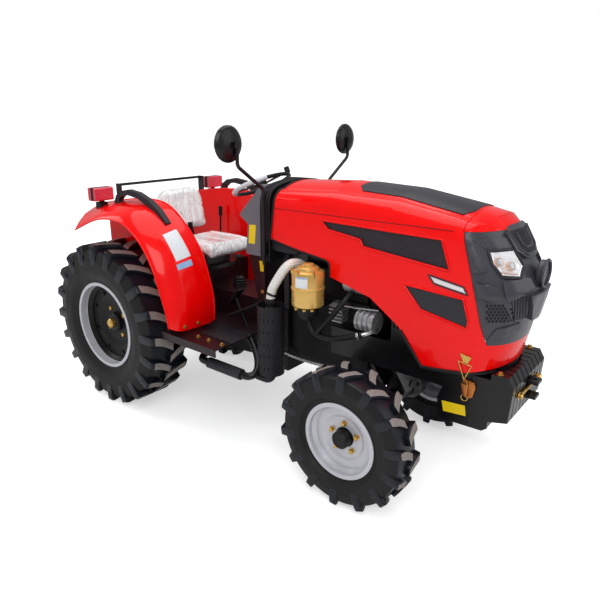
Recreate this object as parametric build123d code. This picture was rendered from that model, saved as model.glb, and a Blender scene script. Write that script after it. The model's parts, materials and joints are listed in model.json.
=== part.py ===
"""Compact four-wheel-drive farm tractor, open platform, as separate solids at real size.

Millimetres. +X points forward, +Y to the driver's left, +Z up. The model is laid out from the ground
point under the rear axle, and is moved at the end so that its box is centred on the origin.
"""
from build123d import *
import os
from math import atan2, cos, hypot, pi, radians, sin, sqrt

# Wheels: where they stand and how large they are
WHEELBASE = 2050.0
REAR_TYRE_R = 605.0
REAR_TYRE_W = 345.0
REAR_WHEEL_Y = 580.0
REAR_SEAT_R = 304.8
REAR_FLANGE_R = 322.0
REAR_RIM_HALF = 148.0
REAR_LUGS = 20
REAR_LUG_H = 36.0
REAR_LUG_W = 48.0
FRONT_TYRE_R = 400.0
FRONT_TYRE_W = 205.0
FRONT_WHEEL_Y = 570.0
FRONT_SEAT_R = 203.2
FRONT_FLANGE_R = 220.5
FRONT_RIM_HALF = 82.0
FRONT_LUGS = 14
FRONT_LUG_H = 25.0
FRONT_LUG_W = 34.0
RIM_WALL = 6.0
BEAD_GAP = 0.2

# How far the machine reaches past its axles
REAR_REACH = 850.0
FRONT_REACH = 805.0

# Fits and clearances
RUN_FIT = 0.05
PIN_GAP = 3.0
SEAM = 0.3
SEAT_GAP = 0.3

# Sheet metal
SHEET = 5.0
PLATE = 8.0

# Rear axle and transmission
HUB_SHAFT_R = 36.0
TRUMPET_END_Y = 440.0
TRUMPET_R = 78.0
CASE_HALF = 150.0
CASE_BOTTOM = 430.0
CASE_TOP = 800.0
CASE_REAR_X = -200.0
BELL_X = 1330.0

# Engine
ENGINE_TO_AXLE = 100.0
ENGINE_FRONT_X = WHEELBASE - ENGINE_TO_AXLE
SUMP_Z = 530.0
HEAD_Z = 1270.0

# Front axle and steering
KINGPIN_Y = 470.0
KINGPIN_R = 20.0
KINGPIN_Z = 430.0
KINGPIN_HALF = 55.0
AXLE_R = 48.0
STEER_ARM = 135.0
TIE_ROD_Z = 473.0
TIE_ROD_R = 12.0
STUD_R = 8.0

# Hood
HOOD_REAR_X = 1296.0
HOOD_LOW_Z = 800.0
HOOD_HINGE_X = 1318.0
HOOD_HINGE_Z = 1652.0
HINGE_PIN_R = 8.0
HINGE_Y = 110.0
ARCH_FRONT_X = 1267.0
HOOD_SEAM_Z = 1540.0
BAND_SEAM_Z = 990.0
CROWN_RISE = 40.0
CORNER_R = 100.0
# station along the hood: place, half width, height of the crown
HOOD_STATIONS = ((1280, 299, 1689), (1700, 308, 1708), (2100, 312, 1690), (2450, 307, 1633), (2880, 296, 1545))
# nose in side view, from the crown down to the lower edge
NOSE_SIDE = ((2560, 1820), (2587, 1596), (2643, 1537), (2741, 1379), (2800, 1262), (2762, 1020), (2700, 780))
# how far the nose falls back from its middle: distance from the centre, setback
NOSE_PLAN = ((0, 0), (120, 14), (225, 62), (300, 150), (330, 215))

# Operator's place
FLOOR_Z = 700.0
FLOOR_Y = 690.0
DECK_Z = 930.0
FENDER_IN_Y = 395.0
FENDER_OUT_Y = 735.0

WHEEL_TILT = 24.0
WHEEL_HUB = (935.0, 0.0, 1632.0)
LAMP_X = -146.0
LAMP_Y = 549.0
LAMP_Z = 1539.0
LAMP_LONG = 94.0
LAMP_WIDE = 150.0
LAMP_TALL = 94.0
BAR_Z = 1591.0
HANDLE_Y = 520.0
MIRROR_X = 1212.0
MIRROR_Y = 576.0
MIRROR_Z = 1920.0
MIRROR_R = 102.0
STEP_Y = 560.0
STEP_Z = 515.0

# Rear hitch
LINK_PIVOT_X = 60.0
LINK_PIVOT_Z = 420.0
LINK_Y = 290.0
LINK_REAR_Y = 341.0
LINK_HALF = 8.0
LINK_PIN_X = -416.0
LINK_PIN_Z = 436.0
LINK_PIN_R = 10.0
LINK_EYE_R = 11.0
TOP_PIN_R = 9.6
LIFT_X = -150.0
LIFT_Z = 905.0
LIFT_ARM = 270.0
LIFT_RISE = 10.0
LIFT_Y = 240.0
LIFT_SHAFT_R = 30.0

# Tow clevis at the front
TOW_PIN_X = 2825.0
TOW_PIN_R = 13.0

# Front drive, offset to the left of the gearbox
DRIVE_Y = 170.0
DRIVE_Z = 395.0

X_MID = (WHEELBASE + FRONT_REACH - REAR_REACH) / 2
NODES = {}


def keep(name, shape):
    """Store a finished node under its name, in the frame centred on the whole machine."""
    NODES[name] = Pos(-X_MID, 0, 0) * shape


def both(name, shape):
    """Store a right-hand node and its mirror image on the left."""
    keep(f"{name}_right", shape)
    keep(f"{name}_left", mirror(shape, about=Plane.XZ))


def pair(shape):
    """A right-hand shape together with its mirror image."""
    return shape + mirror(shape, about=Plane.XZ)


def block(x0, x1, y0, y1, z0, z1):
    """Rectangular block between two corners."""
    return Pos((x0 + x1) / 2, (y0 + y1) / 2, (z0 + z1) / 2) * Box(abs(x1 - x0), abs(y1 - y0), abs(z1 - z0))


def slab(plane, points, low, high, corner=0.0):
    """Flat outline on the xz, xy or yz plane, made thick between two places on the third axis."""
    places = {"xz": lambda a, b: (a, low, b), "xy": lambda a, b: (a, b, low), "yz": lambda a, b: (low, a, b)}
    normals = {"xz": (0, 1, 0), "xy": (0, 0, 1), "yz": (1, 0, 0)}
    face = Face(Wire.make_polygon([places[plane](a, b) for a, b in points]))
    if corner:
        face = face.fillet_2d(corner, face.vertices())
    return extrude(face, high - low, dir=normals[plane])


def rod(start, end, radius):
    """Round bar between two points."""
    a, b = Vector(*start), Vector(*end)
    return Solid.make_cylinder(radius, (b - a).length, Plane(origin=a, z_dir=b - a))


def turned_y(outline, x, y, z):
    """Outline of (radius, place along Y) turned about an axis along Y through a point."""
    face = Face(Wire.make_polygon([(r, t, 0) for r, t in outline]))
    return Pos(x, y, z) * revolve(face, axis=Axis.Y)


def turned_z(outline, x, y, z):
    """Outline of (radius, height) turned about an upright axis through a point."""
    face = Face(Wire.make_polygon([(r, 0, t) for r, t in outline]))
    return Pos(x, y, z) * revolve(face, axis=Axis.Z)


def pipe(points, radius, bend):
    """Round tube or bar along straight runs joined by bends of one radius."""
    path = FilletPolyline(*points, radius=bend)
    return sweep(Plane(origin=path @ 0, z_dir=path % 0) * Circle(radius), path)


def faceted_ring(outline, flats, phase):
    """Closed outline of (radius, place along Y) carried round the Y axis in flat steps."""
    rings = []
    for i in range(flats):
        angle = phase + 2 * pi * (i + 0.5) / flats
        rings.append([(r * cos(angle), t, r * sin(angle)) for r, t in outline])
    faces = []
    for i, ring in enumerate(rings):
        after = rings[(i + 1) % flats]
        for j, corner in enumerate(ring):
            k = (j + 1) % len(ring)
            faces.append(Face(Wire.make_polygon([corner, ring[k], after[k], after[j]])))
    solid = Solid(Shell(faces))
    return solid if solid.volume > 0 else Solid(solid.wrapped.Reversed())


def tapered_bar(foot, crest):
    """Bar between two parallel outlines with the same number of corners."""
    faces = [Face(Wire.make_polygon(list(reversed(foot)))), Face(Wire.make_polygon(crest))]
    for i in range(len(foot)):
        j = (i + 1) % len(foot)
        faces.append(Face(Wire.make_polygon([foot[i], foot[j], crest[j], crest[i]])))
    solid = Solid(Shell(faces))
    return solid if solid.volume > 0 else Solid(solid.wrapped.Reversed())


def tyre(radius, width, seat_r, rim_half, lugs, lug_h, lug_w):
    """Traction tyre about the Y axis: a faceted casing with slanted lugs fused to it.

    The lugs stand in two rows that meet near the middle and are half a pitch apart. Their crests are
    flat, with the outermost corners on the tyre's radius, and one of those corners is at the bottom.
    """
    flats = 2 * lugs
    half = width / 2
    casing_r = radius - lug_h
    bead_r = (seat_r + BEAD_GAP) / cos(pi / flats)
    bead_half = rim_half - RIM_WALL - 10
    bulge_r = seat_r + 0.46 * (casing_r - seat_r)
    outline = [(bead_r, -bead_half), (bulge_r, -half), (casing_r, -0.43 * width),
               (casing_r, 0.43 * width), (bulge_r, half), (bead_r, bead_half)]
    # the lug's middle line runs from just past the tread's centre to the shoulder, trailing as it goes
    slant = 0.26 * width
    reach = slant / 2 + lug_w / 2
    draft = 5.0
    crest_h = sqrt(radius**2 - reach**2)
    foot_h = casing_r - 1.3 * lug_h
    lead = atan2(reach, crest_h)
    phase = -pi / 2 + lead
    casing = faceted_ring(outline, flats, phase)
    bars = []
    for i in range(flats):
        side = -1 if i % 2 else 1
        angle = phase + 2 * pi * i / flats
        out = (cos(angle), sin(angle))
        on = (sin(angle), -cos(angle))
        rows = []
        for height, grow in ((foot_h, draft), (crest_h, 0.0)):
            inner, outer = -0.03 * width * side, half * side
            ends = [(slant / 2 - lug_w / 2 - grow, inner), (slant / 2 + lug_w / 2 + grow, inner),
                    (-slant / 2 + lug_w / 2 + grow, outer), (-slant / 2 - lug_w / 2 - grow, outer)]
            rows.append([(height * out[0] + s * on[0], t, height * out[1] + s * on[1]) for s, t in ends])
        bars.append(tapered_bar(*rows))
    return casing.fuse(*bars)


def rim(seat_r, flange_r, half):
    """Pressed wheel rim about the Y axis: two flanges, two bead seats and a drop centre."""
    well_r = seat_r - 0.1 * seat_r
    lip = half - RIM_WALL
    outside = [(flange_r, -half), (flange_r, -lip), (seat_r, -lip), (seat_r, -0.62 * half), (well_r, -0.42 * half),
               (well_r, 0.42 * half), (seat_r, 0.62 * half), (seat_r, lip), (flange_r, lip), (flange_r, half)]
    inside = [(seat_r - RIM_WALL, half), (seat_r - RIM_WALL, 0.62 * half + 3), (well_r - RIM_WALL, 0.42 * half + 3),
              (well_r - RIM_WALL, -0.42 * half - 3), (seat_r - RIM_WALL, -0.62 * half - 3), (seat_r - RIM_WALL, -half)]
    return turned_y(outside + inside, 0, 0, 0)


def rear_disc():
    """Dished centre of a rear wheel, with its hub and the shaft that runs in the axle's end."""
    dish_r = REAR_SEAT_R * 0.9 - RIM_WALL - SEAT_GAP
    face_y = -28.0
    outline = [(0, -70), (62, -70), (72, -60), (72, face_y - 6), (150, face_y - 6), (200, face_y - 30),
               (dish_r, face_y - 30), (dish_r, face_y - 18), (205, face_y - 18), (155, face_y + 8), (110, face_y + 8),
               (110, 132), (HUB_SHAFT_R, 132), (HUB_SHAFT_R, 215), (0, 215)]
    disc = turned_y(outline, 0, 0, 0)
    slot = rod((0, face_y - 60, 232), (0, face_y + 40, 232), 17)
    for i in range(8):
        disc -= Rot(0, 45 * i + 22.5, 0) * slot
    return disc


def front_disc():
    """Dished centre of a front wheel, fused to nothing but seated inside the rim's drop centre."""
    dish_r = FRONT_SEAT_R * 0.9 - RIM_WALL
    return turned_y([(58, -20), (112, -20), (140, -34), (dish_r + 3, -34), (dish_r + 3, -26), (144, -26), (116, -12),
                     (58, -12)], 0, 0, 0)


def front_hub():
    """Hub of a front wheel: cap, flange behind the disc and the shaft that runs in the knuckle."""
    return turned_y([(0, -78), (40, -78), (50, -68), (50, -20), (56, -20), (56, -11.7), (95, -11.7), (95, 4),
                     (30, 4), (30, 48), (0, 48)], 0, 0, 0)


def wheels():
    """Four wheels on their axles."""
    rear = tyre(REAR_TYRE_R, REAR_TYRE_W, REAR_SEAT_R, REAR_RIM_HALF, REAR_LUGS, REAR_LUG_H, REAR_LUG_W)
    front = tyre(FRONT_TYRE_R, FRONT_TYRE_W, FRONT_SEAT_R, FRONT_RIM_HALF, FRONT_LUGS, FRONT_LUG_H, FRONT_LUG_W)
    at_rear = Pos(0, -REAR_WHEEL_Y, REAR_TYRE_R)
    at_front = Pos(WHEELBASE, -FRONT_WHEEL_Y, FRONT_TYRE_R)
    both("rear_tyre", at_rear * rear)
    both("rear_rim", at_rear * rim(REAR_SEAT_R, REAR_FLANGE_R, REAR_RIM_HALF))
    both("rear_disc", at_rear * rear_disc())
    both("front_tyre", at_front * front)
    both("front_rim", at_front * (rim(FRONT_SEAT_R, FRONT_FLANGE_R, FRONT_RIM_HALF) + front_disc()))
    both("front_hub", at_front * front_hub())


def transmission():
    """Cast gearbox and rear axle: the main case, the two axle trumpets and the bell behind the engine."""
    z = REAR_TYRE_R
    case = slab("xz", [(CASE_REAR_X, 470), (CASE_REAR_X + 60, CASE_BOTTOM), (900, CASE_BOTTOM + 20), (1150, 470),
                       (1150, CASE_TOP - 20), (300, CASE_TOP), (CASE_REAR_X, CASE_TOP)], -CASE_HALF, CASE_HALF)
    case = fillet(case.edges().filter_by(Axis.X), 18)
    bell = loft([Face(Wire.make_polygon([(1150, -150, 470), (1150, 150, 470), (1150, 150, 780), (1150, -150, 780)])),
                 Face(Wire.make_polygon([(1280, -200, 440), (1280, 200, 440), (1280, 200, 870), (1280, -200, 870)]))],
                ruled=True)
    flange = block(1280, BELL_X, -200, 200, 440, 870)
    y_case = CASE_HALF
    trumpet = turned_y([(0, -y_case + 20), (130, -y_case + 20), (130, -y_case - 25), (96, -y_case - 40),
                        (TRUMPET_R, -TRUMPET_END_Y + 60), (TRUMPET_R + 22, -TRUMPET_END_Y + 30),
                        (TRUMPET_R + 22, -TRUMPET_END_Y), (0, -TRUMPET_END_Y)], 0, 0, z)
    trumpet -= rod((0, -TRUMPET_END_Y - 1, z), (0, -TRUMPET_END_Y + 80, z), HUB_SHAFT_R + RUN_FIT)
    lift_box = block(CASE_REAR_X, 200, -120, 120, CASE_TOP, 960)
    lift_box -= rod((LIFT_X, -121, LIFT_Z), (LIFT_X, 121, LIFT_Z), LIFT_SHAFT_R + RUN_FIT)
    transfer = block(980, 1150, 100, DRIVE_Y + 50, 350, 500)
    link_pins = rod((LINK_PIVOT_X, -LINK_Y - 20, LINK_PIVOT_Z), (LINK_PIVOT_X, LINK_Y + 20, LINK_PIVOT_Z), 14)
    link_pins += block(LINK_PIVOT_X - 30, LINK_PIVOT_X + 30, -150, 150, LINK_PIVOT_Z - 30, 480)
    shaft = rod((CASE_REAR_X, 0, 560), (CASE_REAR_X - 90, 0, 560), 17.5)
    hanger = block(CASE_REAR_X, -60, -50, 50, 396, 480) + block(-480, -60, -35, 35, 372, 396)
    hanger -= rod((-450, 0, 360), (-450, 0, 410), TOW_PIN_R)
    ears = pair(block(CASE_REAR_X - 40, CASE_REAR_X, 22, 36, 690, 760))
    ears -= rod((CASE_REAR_X - 22, -50, 725), (CASE_REAR_X - 22, 50, 725), TOP_PIN_R)
    body = case + bell + flange + pair(trumpet) + lift_box + transfer + link_pins + shaft + hanger + ears
    keep("transmission", body)


def engine():
    """Three-cylinder engine: sump, block, head and timing cover."""
    x0, x1 = BELL_X, ENGINE_FRONT_X
    sump = slab("xz", [(x0, 600), (x0 + 30, SUMP_Z + 30), (x0 + 120, SUMP_Z), (x1 - 90, SUMP_Z), (x1 - 30, 600)],
                -150, 150)
    body = block(x0, x1 - 30, -165, 165, 600, 1010)
    head = block(x0 + 40, x1 - 60, -140, 140, 1010, 1180)
    cover = block(x0 + 70, x1 - 90, -90, 90, 1180, HEAD_Z)
    cover = fillet(cover.edges().filter_by(Axis.X), 25)
    timing = block(x1 - 30, x1, -150, 150, 580, 1120)
    pulley = turned_x([(0, 0), (85, 0), (85, 34), (30, 34), (30, 60), (0, 60)], x1, 0, 900)
    keep("engine", sump + body + head + cover + timing + pulley)


def turned_x(outline, x, y, z):
    """Outline of (radius, place along X) turned about an axis along X through a point."""
    face = Face(Wire.make_polygon([(t, r, 0) for r, t in outline]))
    return Pos(x, y, z) * revolve(face, axis=Axis.X)


def radiator():
    """Radiator with its shroud: an open frame round the core, slotted at its sides."""
    x0, x1, half, low, high = 2110.0, 2290.0, 245.0, 860.0, 1480.0
    shroud = block(x0, x1, -half, half, low, high) - block(x0 - 1, x1 - 60, -half + 6, half - 6, low + 6, high - 6)
    for side in (-1, 1):
        for i in range(5):
            for j in range(3):
                z = low + 90 + 150 * j
                slot = block(x0 + 12 + 22 * i, x0 + 20 + 22 * i, side * half - 12, side * half + 12, z, z + 110)
                shroud -= slot
    keep("radiator", shroud)


def front_frame():
    """Black front carrier: two side rails from the engine, the box under the nose and the axle's brackets."""
    rail = slab("xz", [(ENGINE_FRONT_X - 250, 690), (2430, 690), (2406, 621), (2416, 497), (2660, 505), (2686, 526), (2686, 800),
                       (2420, 800), (2200, 860), (ENGINE_FRONT_X - 250, 860)], -235, -235 + PLATE * 2)
    rail = pair(rail)
    inner = 235 - 2 * PLATE
    floor = block(2430, 2655, -inner, inner, 505, 505 + PLATE)
    nose_plate = block(2686 - PLATE, 2686, -inner, inner, 530, 792)
    cross = block(WHEELBASE + 2, WHEELBASE + 55, -inner, inner, 800, 846)
    deck = block(WHEELBASE + 60, 2686, -inner, inner, 792, 800)
    mounts = pair(block(ENGINE_FRONT_X - 230, ENGINE_FRONT_X - 150, -inner, -165, 700, 800))
    brackets = [slab("yz", [(-60, 480), (60, 480), (inner, 690), (inner, 760), (-inner, 760), (-inner, 690)], x, x + 22)
                for x in (WHEELBASE - 85, WHEELBASE + 63)]
    hole = rod((WHEELBASE - 100, 0, 520), (WHEELBASE + 100, 0, 520), 22 + RUN_FIT)
    frame = rail + floor + nose_plate + cross + deck + mounts + brackets
    tow = [block(2680, tip, -35, 35, low, low + 18) for tip, low in ((2855, 745), (2851, 663))]
    frame += tow
    frame -= rod((TOW_PIN_X, 0, 600), (TOW_PIN_X, 0, 785), TOW_PIN_R)
    keep("front_frame", frame - hole)


def front_axle():
    """Driven front axle beam with its pivot pin, differential and king pin bosses."""
    x, z = WHEELBASE, KINGPIN_Z
    beam = rod((x, -KINGPIN_Y, z), (x, KINGPIN_Y, z), AXLE_R)
    bulge = turned_y([(0, -90), (56, -90), (84, -50), (84, 50), (56, 90), (0, 90)], x, DRIVE_Y + 25, z)
    boss = rod((x, -KINGPIN_Y, z - KINGPIN_HALF), (x, -KINGPIN_Y, z + KINGPIN_HALF), 44)
    top = block(x - 60, x + 60, -40, 40, z + 20, 560)
    shape = beam + bulge + pair(boss) + top + rod((x - 92, 0, 520), (x + 92, 0, 520), 22)
    shape -= pair(rod((x, -KINGPIN_Y, z - 80), (x, -KINGPIN_Y, z + 80), KINGPIN_R + RUN_FIT))
    shape -= pair(block(x - 70, x + 70, -KINGPIN_Y - 60, -KINGPIN_Y - 44.5, z - 80, z + 80))
    keep("front_axle", shape + rod((1150, DRIVE_Y, DRIVE_Z), (x - 60, DRIVE_Y, DRIVE_Z), 24))


def knuckle():
    """Steered front hub carrier with its king pin, wheel bearing case and steering arm."""
    x, y, z = WHEELBASE, -KINGPIN_Y, KINGPIN_Z
    lift = KINGPIN_HALF + PIN_GAP
    case_y = -FRONT_WHEEL_Y + 6
    case = turned_y([(0, case_y), (86, case_y), (86, case_y + 30), (72, case_y + 40), (0, case_y + 40)], x, 0,
                    FRONT_TYRE_R)
    case += block(x - 45, x + 45, case_y, y - 46, z - lift - 24, z + lift + 24)
    case -= block(x - 60, x + 60, y - 46, y + 60, z - lift, z + lift)
    ears = [rod((x, y, a), (x, y, b), 38) + block(x - 38, x + 38, y - 46, y, a, b)
            for a, b in ((z - lift - 24, z - lift), (z + lift, z + lift + 24))]
    pin = rod((x, y, z - lift - 1), (x, y, z + lift + 1), KINGPIN_R)
    arm_z = z + lift
    arm = slab("xy", [(x, y - 26), (x, y + 26), (x - STEER_ARM, y + 20), (x - STEER_ARM - 16, y), (x - STEER_ARM, y - 20)],
               arm_z, arm_z + 20)
    stud = rod((x - STEER_ARM, y, TIE_ROD_Z - 17), (x - STEER_ARM, y, arm_z + 1), STUD_R)
    shape = case + ears + pin + arm + stud
    shape -= rod((x, case_y - 1, FRONT_TYRE_R), (x, case_y + 58, FRONT_TYRE_R), 30 + RUN_FIT)
    both("knuckle", shape)


def tie_rod():
    """Track rod across the front axle with an eye at each end."""
    x = WHEELBASE - STEER_ARM
    bar = rod((x, -KINGPIN_Y + 12, TIE_ROD_Z), (x, KINGPIN_Y - 12, TIE_ROD_Z), TIE_ROD_R)
    eye = rod((x, -KINGPIN_Y, TIE_ROD_Z - 14), (x, -KINGPIN_Y, TIE_ROD_Z + 13), 20)
    shape = bar + pair(eye)
    shape -= rod((x, -KINGPIN_Y, TIE_ROD_Z - 20), (x, -KINGPIN_Y, TIE_ROD_Z + 20), STUD_R + RUN_FIT)
    shape -= rod((x, KINGPIN_Y, TIE_ROD_Z - 20), (x, KINGPIN_Y, TIE_ROD_Z + 20), STUD_R + SEAT_GAP)
    keep("tie_rod", shape)


def hood_section(x, half, top, inset):
    """Upright cross-section of the hood: straight sides, rounded shoulders and a crowned top."""
    h, t, low = half - inset, top - inset, HOOD_LOW_Z - 60
    shoulder = t - CROWN_RISE
    bend = CORNER_R * (1 - sqrt(0.5))
    wire = Wire([
        Line((x, -h, low), (x, -h, shoulder - CORNER_R)),
        ThreePointArc((x, -h, shoulder - CORNER_R), (x, -h + bend, shoulder - bend), (x, -h + CORNER_R, shoulder)),
        ThreePointArc((x, -h + CORNER_R, shoulder), (x, 0, t), (x, h - CORNER_R, shoulder)),
        ThreePointArc((x, h - CORNER_R, shoulder), (x, h - bend, shoulder - bend), (x, h, shoulder - CORNER_R)),
        Line((x, h, shoulder - CORNER_R), (x, h, low)),
        Line((x, h, low), (x, -h, low)),
    ])
    return Face(wire)


def hood_solid(inset):
    """Whole hood as one filled body, drawn in by an inset: a lofted barrel met by the lofted nose."""
    barrel = loft([hood_section(x, half, top, inset) for x, half, top in HOOD_STATIONS], ruled=True)
    cuts = []
    stations = [(-y, back) for y, back in reversed(NOSE_PLAN[1:])] + [(y, back) for y, back in NOSE_PLAN]
    for y, back in stations:
        front = [(x - back - inset, z) for x, z in NOSE_SIDE]
        outline = [(1000, 700), (1000, 1820)] + front[:-1] + [(front[-1][0], 700)]
        cuts.append(Face(Wire.make_polygon([(x, y, z) for x, z in outline])))
    return barrel & loft(cuts)


def side_panel_outline():
    """Hood side in side view: the open engine bay cuts up into its lower edge."""
    return [(1360, HOOD_SEAM_Z - SEAM), (1360, 1500), (1262, 1343), (1513, 1304), (1722, 1276), (1728, 1190),
            (2005, 1118), (2102, 1052), (2190, BAND_SEAM_Z), (2652, BAND_SEAM_Z), (2643, 1016),
            (2491, HOOD_SEAM_Z - SEAM)]


UPPER_WINDOW = ((1656, 1510), (2393, 1493), (2448, 1341), (1947, 1395), (1926, 1431), (1713, 1460))
LOWER_WINDOW = ((2199, 1234), (2527, 1214), (2563, 1108), (2557, 1065), (2305, 1114))
MARKER_LAMP = ((2334, 1306), (2521, 1274), (2545, 1238), (2370, 1266))
HEADLAMP = ((2599, 1472), (2746, 1484), (2775, 1432), (2680, 1344), (2612, 1440))


def hood():
    """Hood panels: top, inlay, two sides with windows, lower band and the grille mask."""
    outer, inner = hood_solid(0), hood_solid(SHEET)
    deep = hood_solid(2 * SHEET)
    shell = outer - inner
    top_zone = slab("xz", [(HOOD_REAR_X, HOOD_SEAM_Z), (2486, HOOD_SEAM_Z), (2480, 1800), (HOOD_REAR_X, 1800)],
                    -400, 400)
    x, z, y = HOOD_HINGE_X, HOOD_HINGE_Z, HINGE_Y
    eye = block(x - 16, x + 60, y, y + 10, z - 16, z + 60) & hood_solid(SHEET - 1)
    eye -= rod((x, y - 1, z), (x, y + 11, z), HINGE_PIN_R + RUN_FIT)
    keep("hood_top", (shell & top_zone) + pair(eye))
    inlay_zone = slab("xy", [(1800, -120), (1850, -180), (2440, -190), (2475, -120), (2475, 120), (2440, 190),
                             (1850, 180), (1800, 120)], 1560, 1760)
    raised = hood_solid(-4)
    keep("hood_inlay", (raised - outer) & inlay_zone)
    panel = shell & slab("xz", side_panel_outline(), -400, 0)
    for window in (UPPER_WINDOW, LOWER_WINDOW, MARKER_LAMP):
        panel -= slab("xz", window, -400, 0)
    keep("hood_sides", pair(panel))
    backing = inner - deep
    meshes = (backing & slab("xz", grown(UPPER_WINDOW, 12), -400, 0)) + (
        backing & slab("xz", grown(LOWER_WINDOW, 12), -400, 0))
    keep("hood_mesh", pair(meshes))
    keep("marker_lamps", pair(shell & slab("xz", grown(MARKER_LAMP, -SEAT_GAP), -400, 0)))
    band_zone = slab("xz", [(2190 + SEAM, BAND_SEAM_Z - SEAM), (2335, HOOD_LOW_Z), (2480, 814), (2900, 898),
                            (2900, BAND_SEAM_Z - SEAM)], -400, 400)
    keep("hood_band", shell & band_zone)
    mask_zone = slab("xz", [(2494, HOOD_SEAM_Z - SEAM), (2489, HOOD_SEAM_Z), (2483, 1800), (2900, 1800),
                            (2900, BAND_SEAM_Z), (2655, BAND_SEAM_Z), (2646, 1016)], -400, 400)
    thick = hood_solid(3 * SHEET)
    mask = (outer - thick) & mask_zone
    lamp_cut = slab("xz", HEADLAMP, -400, -120)
    mask -= pair(lamp_cut)
    keep("grille_mask", mask_details(mask))
    lamp = (hood_solid(4) - hood_solid(60)) & slab("xz", grown(HEADLAMP, -SEAT_GAP), -400, -120 - SEAT_GAP)
    keep("headlamps", pair(lamp))


def mask_details(mask):
    """Grille mask with its upper intake, the round boss, the upright louvres and the two side meshes."""
    intake = [(-92, 1478), (92, 1478), (70, 1500), (92, 1535), (-92, 1535), (-70, 1500)]
    mask -= slab("yz", [(-95, 1532), (95, 1532), (44, 1418), (-44, 1418)], 2560, 2900)
    bars = [slab("yz", [(-95 + 26 * i, 1536), (-87 + 26 * i, 1536), (-40 + 13 * i, 1410), (-48 + 13 * i, 1410)], 2560, 2900)
            for i in range(1, 8)]
    shell = hood_solid(SHEET + 3) - hood_solid(3 * SHEET)
    mask += [bar & shell for bar in bars]
    for i in range(-4, 5):
        mask -= block(2600, 2900, 17 * i - 4, 17 * i + 4, 1130, 1215)
    for row in range(4):
        for i in range(6):
            y, z = 118 + 22 * i + 11 * (row % 2), 1120 + 21 * row
            mask -= pair(Pos(2700, -y, z) * Rot(0, 90, 0) * extrude(RegularPolygon(8.5, 6), 400, both=True))
    boss = turned_x([(0, 0), (60, 0), (66, 8), (66, 30), (0, 30)], 2776, 0, 1330)
    return mask + (boss - hood_solid(2 * SHEET))


def grown(points, by):
    """Outline with every corner moved away from, or towards, its middle by about a given distance."""
    cx = sum(p[0] for p in points) / len(points)
    cz = sum(p[1] for p in points) / len(points)
    return [(x + by * (x - cx) / hypot(x - cx, z - cz), z + by * (z - cz) / hypot(x - cx, z - cz)) for x, z in points]


def cowl_shape():
    """Dash cowl: the moulded housing under the steering wheel."""
    return slab("xz", [(1190, 1200), (1190, 1655), (1130, 1665), (930, 1455), (1010, 1400), (984, 1200)],
                -220, 220, 12)


def cowl():
    """Dash cowl, the lower console, the firewall and the ribbed rubber arch behind the hood."""
    tilt, hub = WHEEL_TILT, WHEEL_HUB
    axis = (sin(radians(tilt)), 0, -cos(radians(tilt)))
    column = rod([hub[i] + 18 * axis[i] for i in range(3)], [hub[i] + 130 * axis[i] for i in range(3)], 24)
    keep("dash_cowl", cowl_shape() + column)
    console = slab("xz", [(1190, 880), (1190, 1200), (984, 1200), (1060, 880)], -190, 190)
    firewall = slab("yz", [(-276, 880), (276, 880), (276, 1199), (-276, 1199)], 1190, 1196)
    keep("console", console + firewall)
    arch_outer = [(-298, 1200), (-298, 1590), (-270, 1645), (-200, 1668), (0, 1690), (200, 1668), (270, 1645),
                  (298, 1590), (298, 1200)]
    arch = slab("yz", arch_outer, 1190, ARCH_FRONT_X)
    core = slab("yz", [(y * 0.93, 1199 if z == 1200 else z - 18) for y, z in arch_outer], 1189, ARCH_FRONT_X - 12)
    x, z, y = HOOD_HINGE_X, HOOD_HINGE_Z, HINGE_Y
    ear = slab("xz", [(ARCH_FRONT_X, z - 50), (x + 4, z - 16), (x + 14, z), (x, z + 8), (ARCH_FRONT_X, z - 10)],
               y - 10, y - PIN_GAP)
    ear += rod((x, y - PIN_GAP - 1, z), (x, y + 10, z), HINGE_PIN_R)
    keep("rubber_arch", arch - core + pair(ear))


def steering_wheel():
    """Three-spoke steering wheel with a spinner knob, and the column it turns on."""
    place = Pos(*WHEEL_HUB) * Rot(0, -WHEEL_TILT, 0)
    ring = Torus(195, 13)
    centre = Cylinder(38, 34)
    spokes = [Rot(0, 0, 120 * i) * Pos(115, 0, -3) * Box(170, 26, 9) for i in range(3)]
    knob = Pos(175, 90, 30) * Cylinder(18, 40)
    keep("steering_wheel", place * (ring + centre + spokes + knob))


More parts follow.
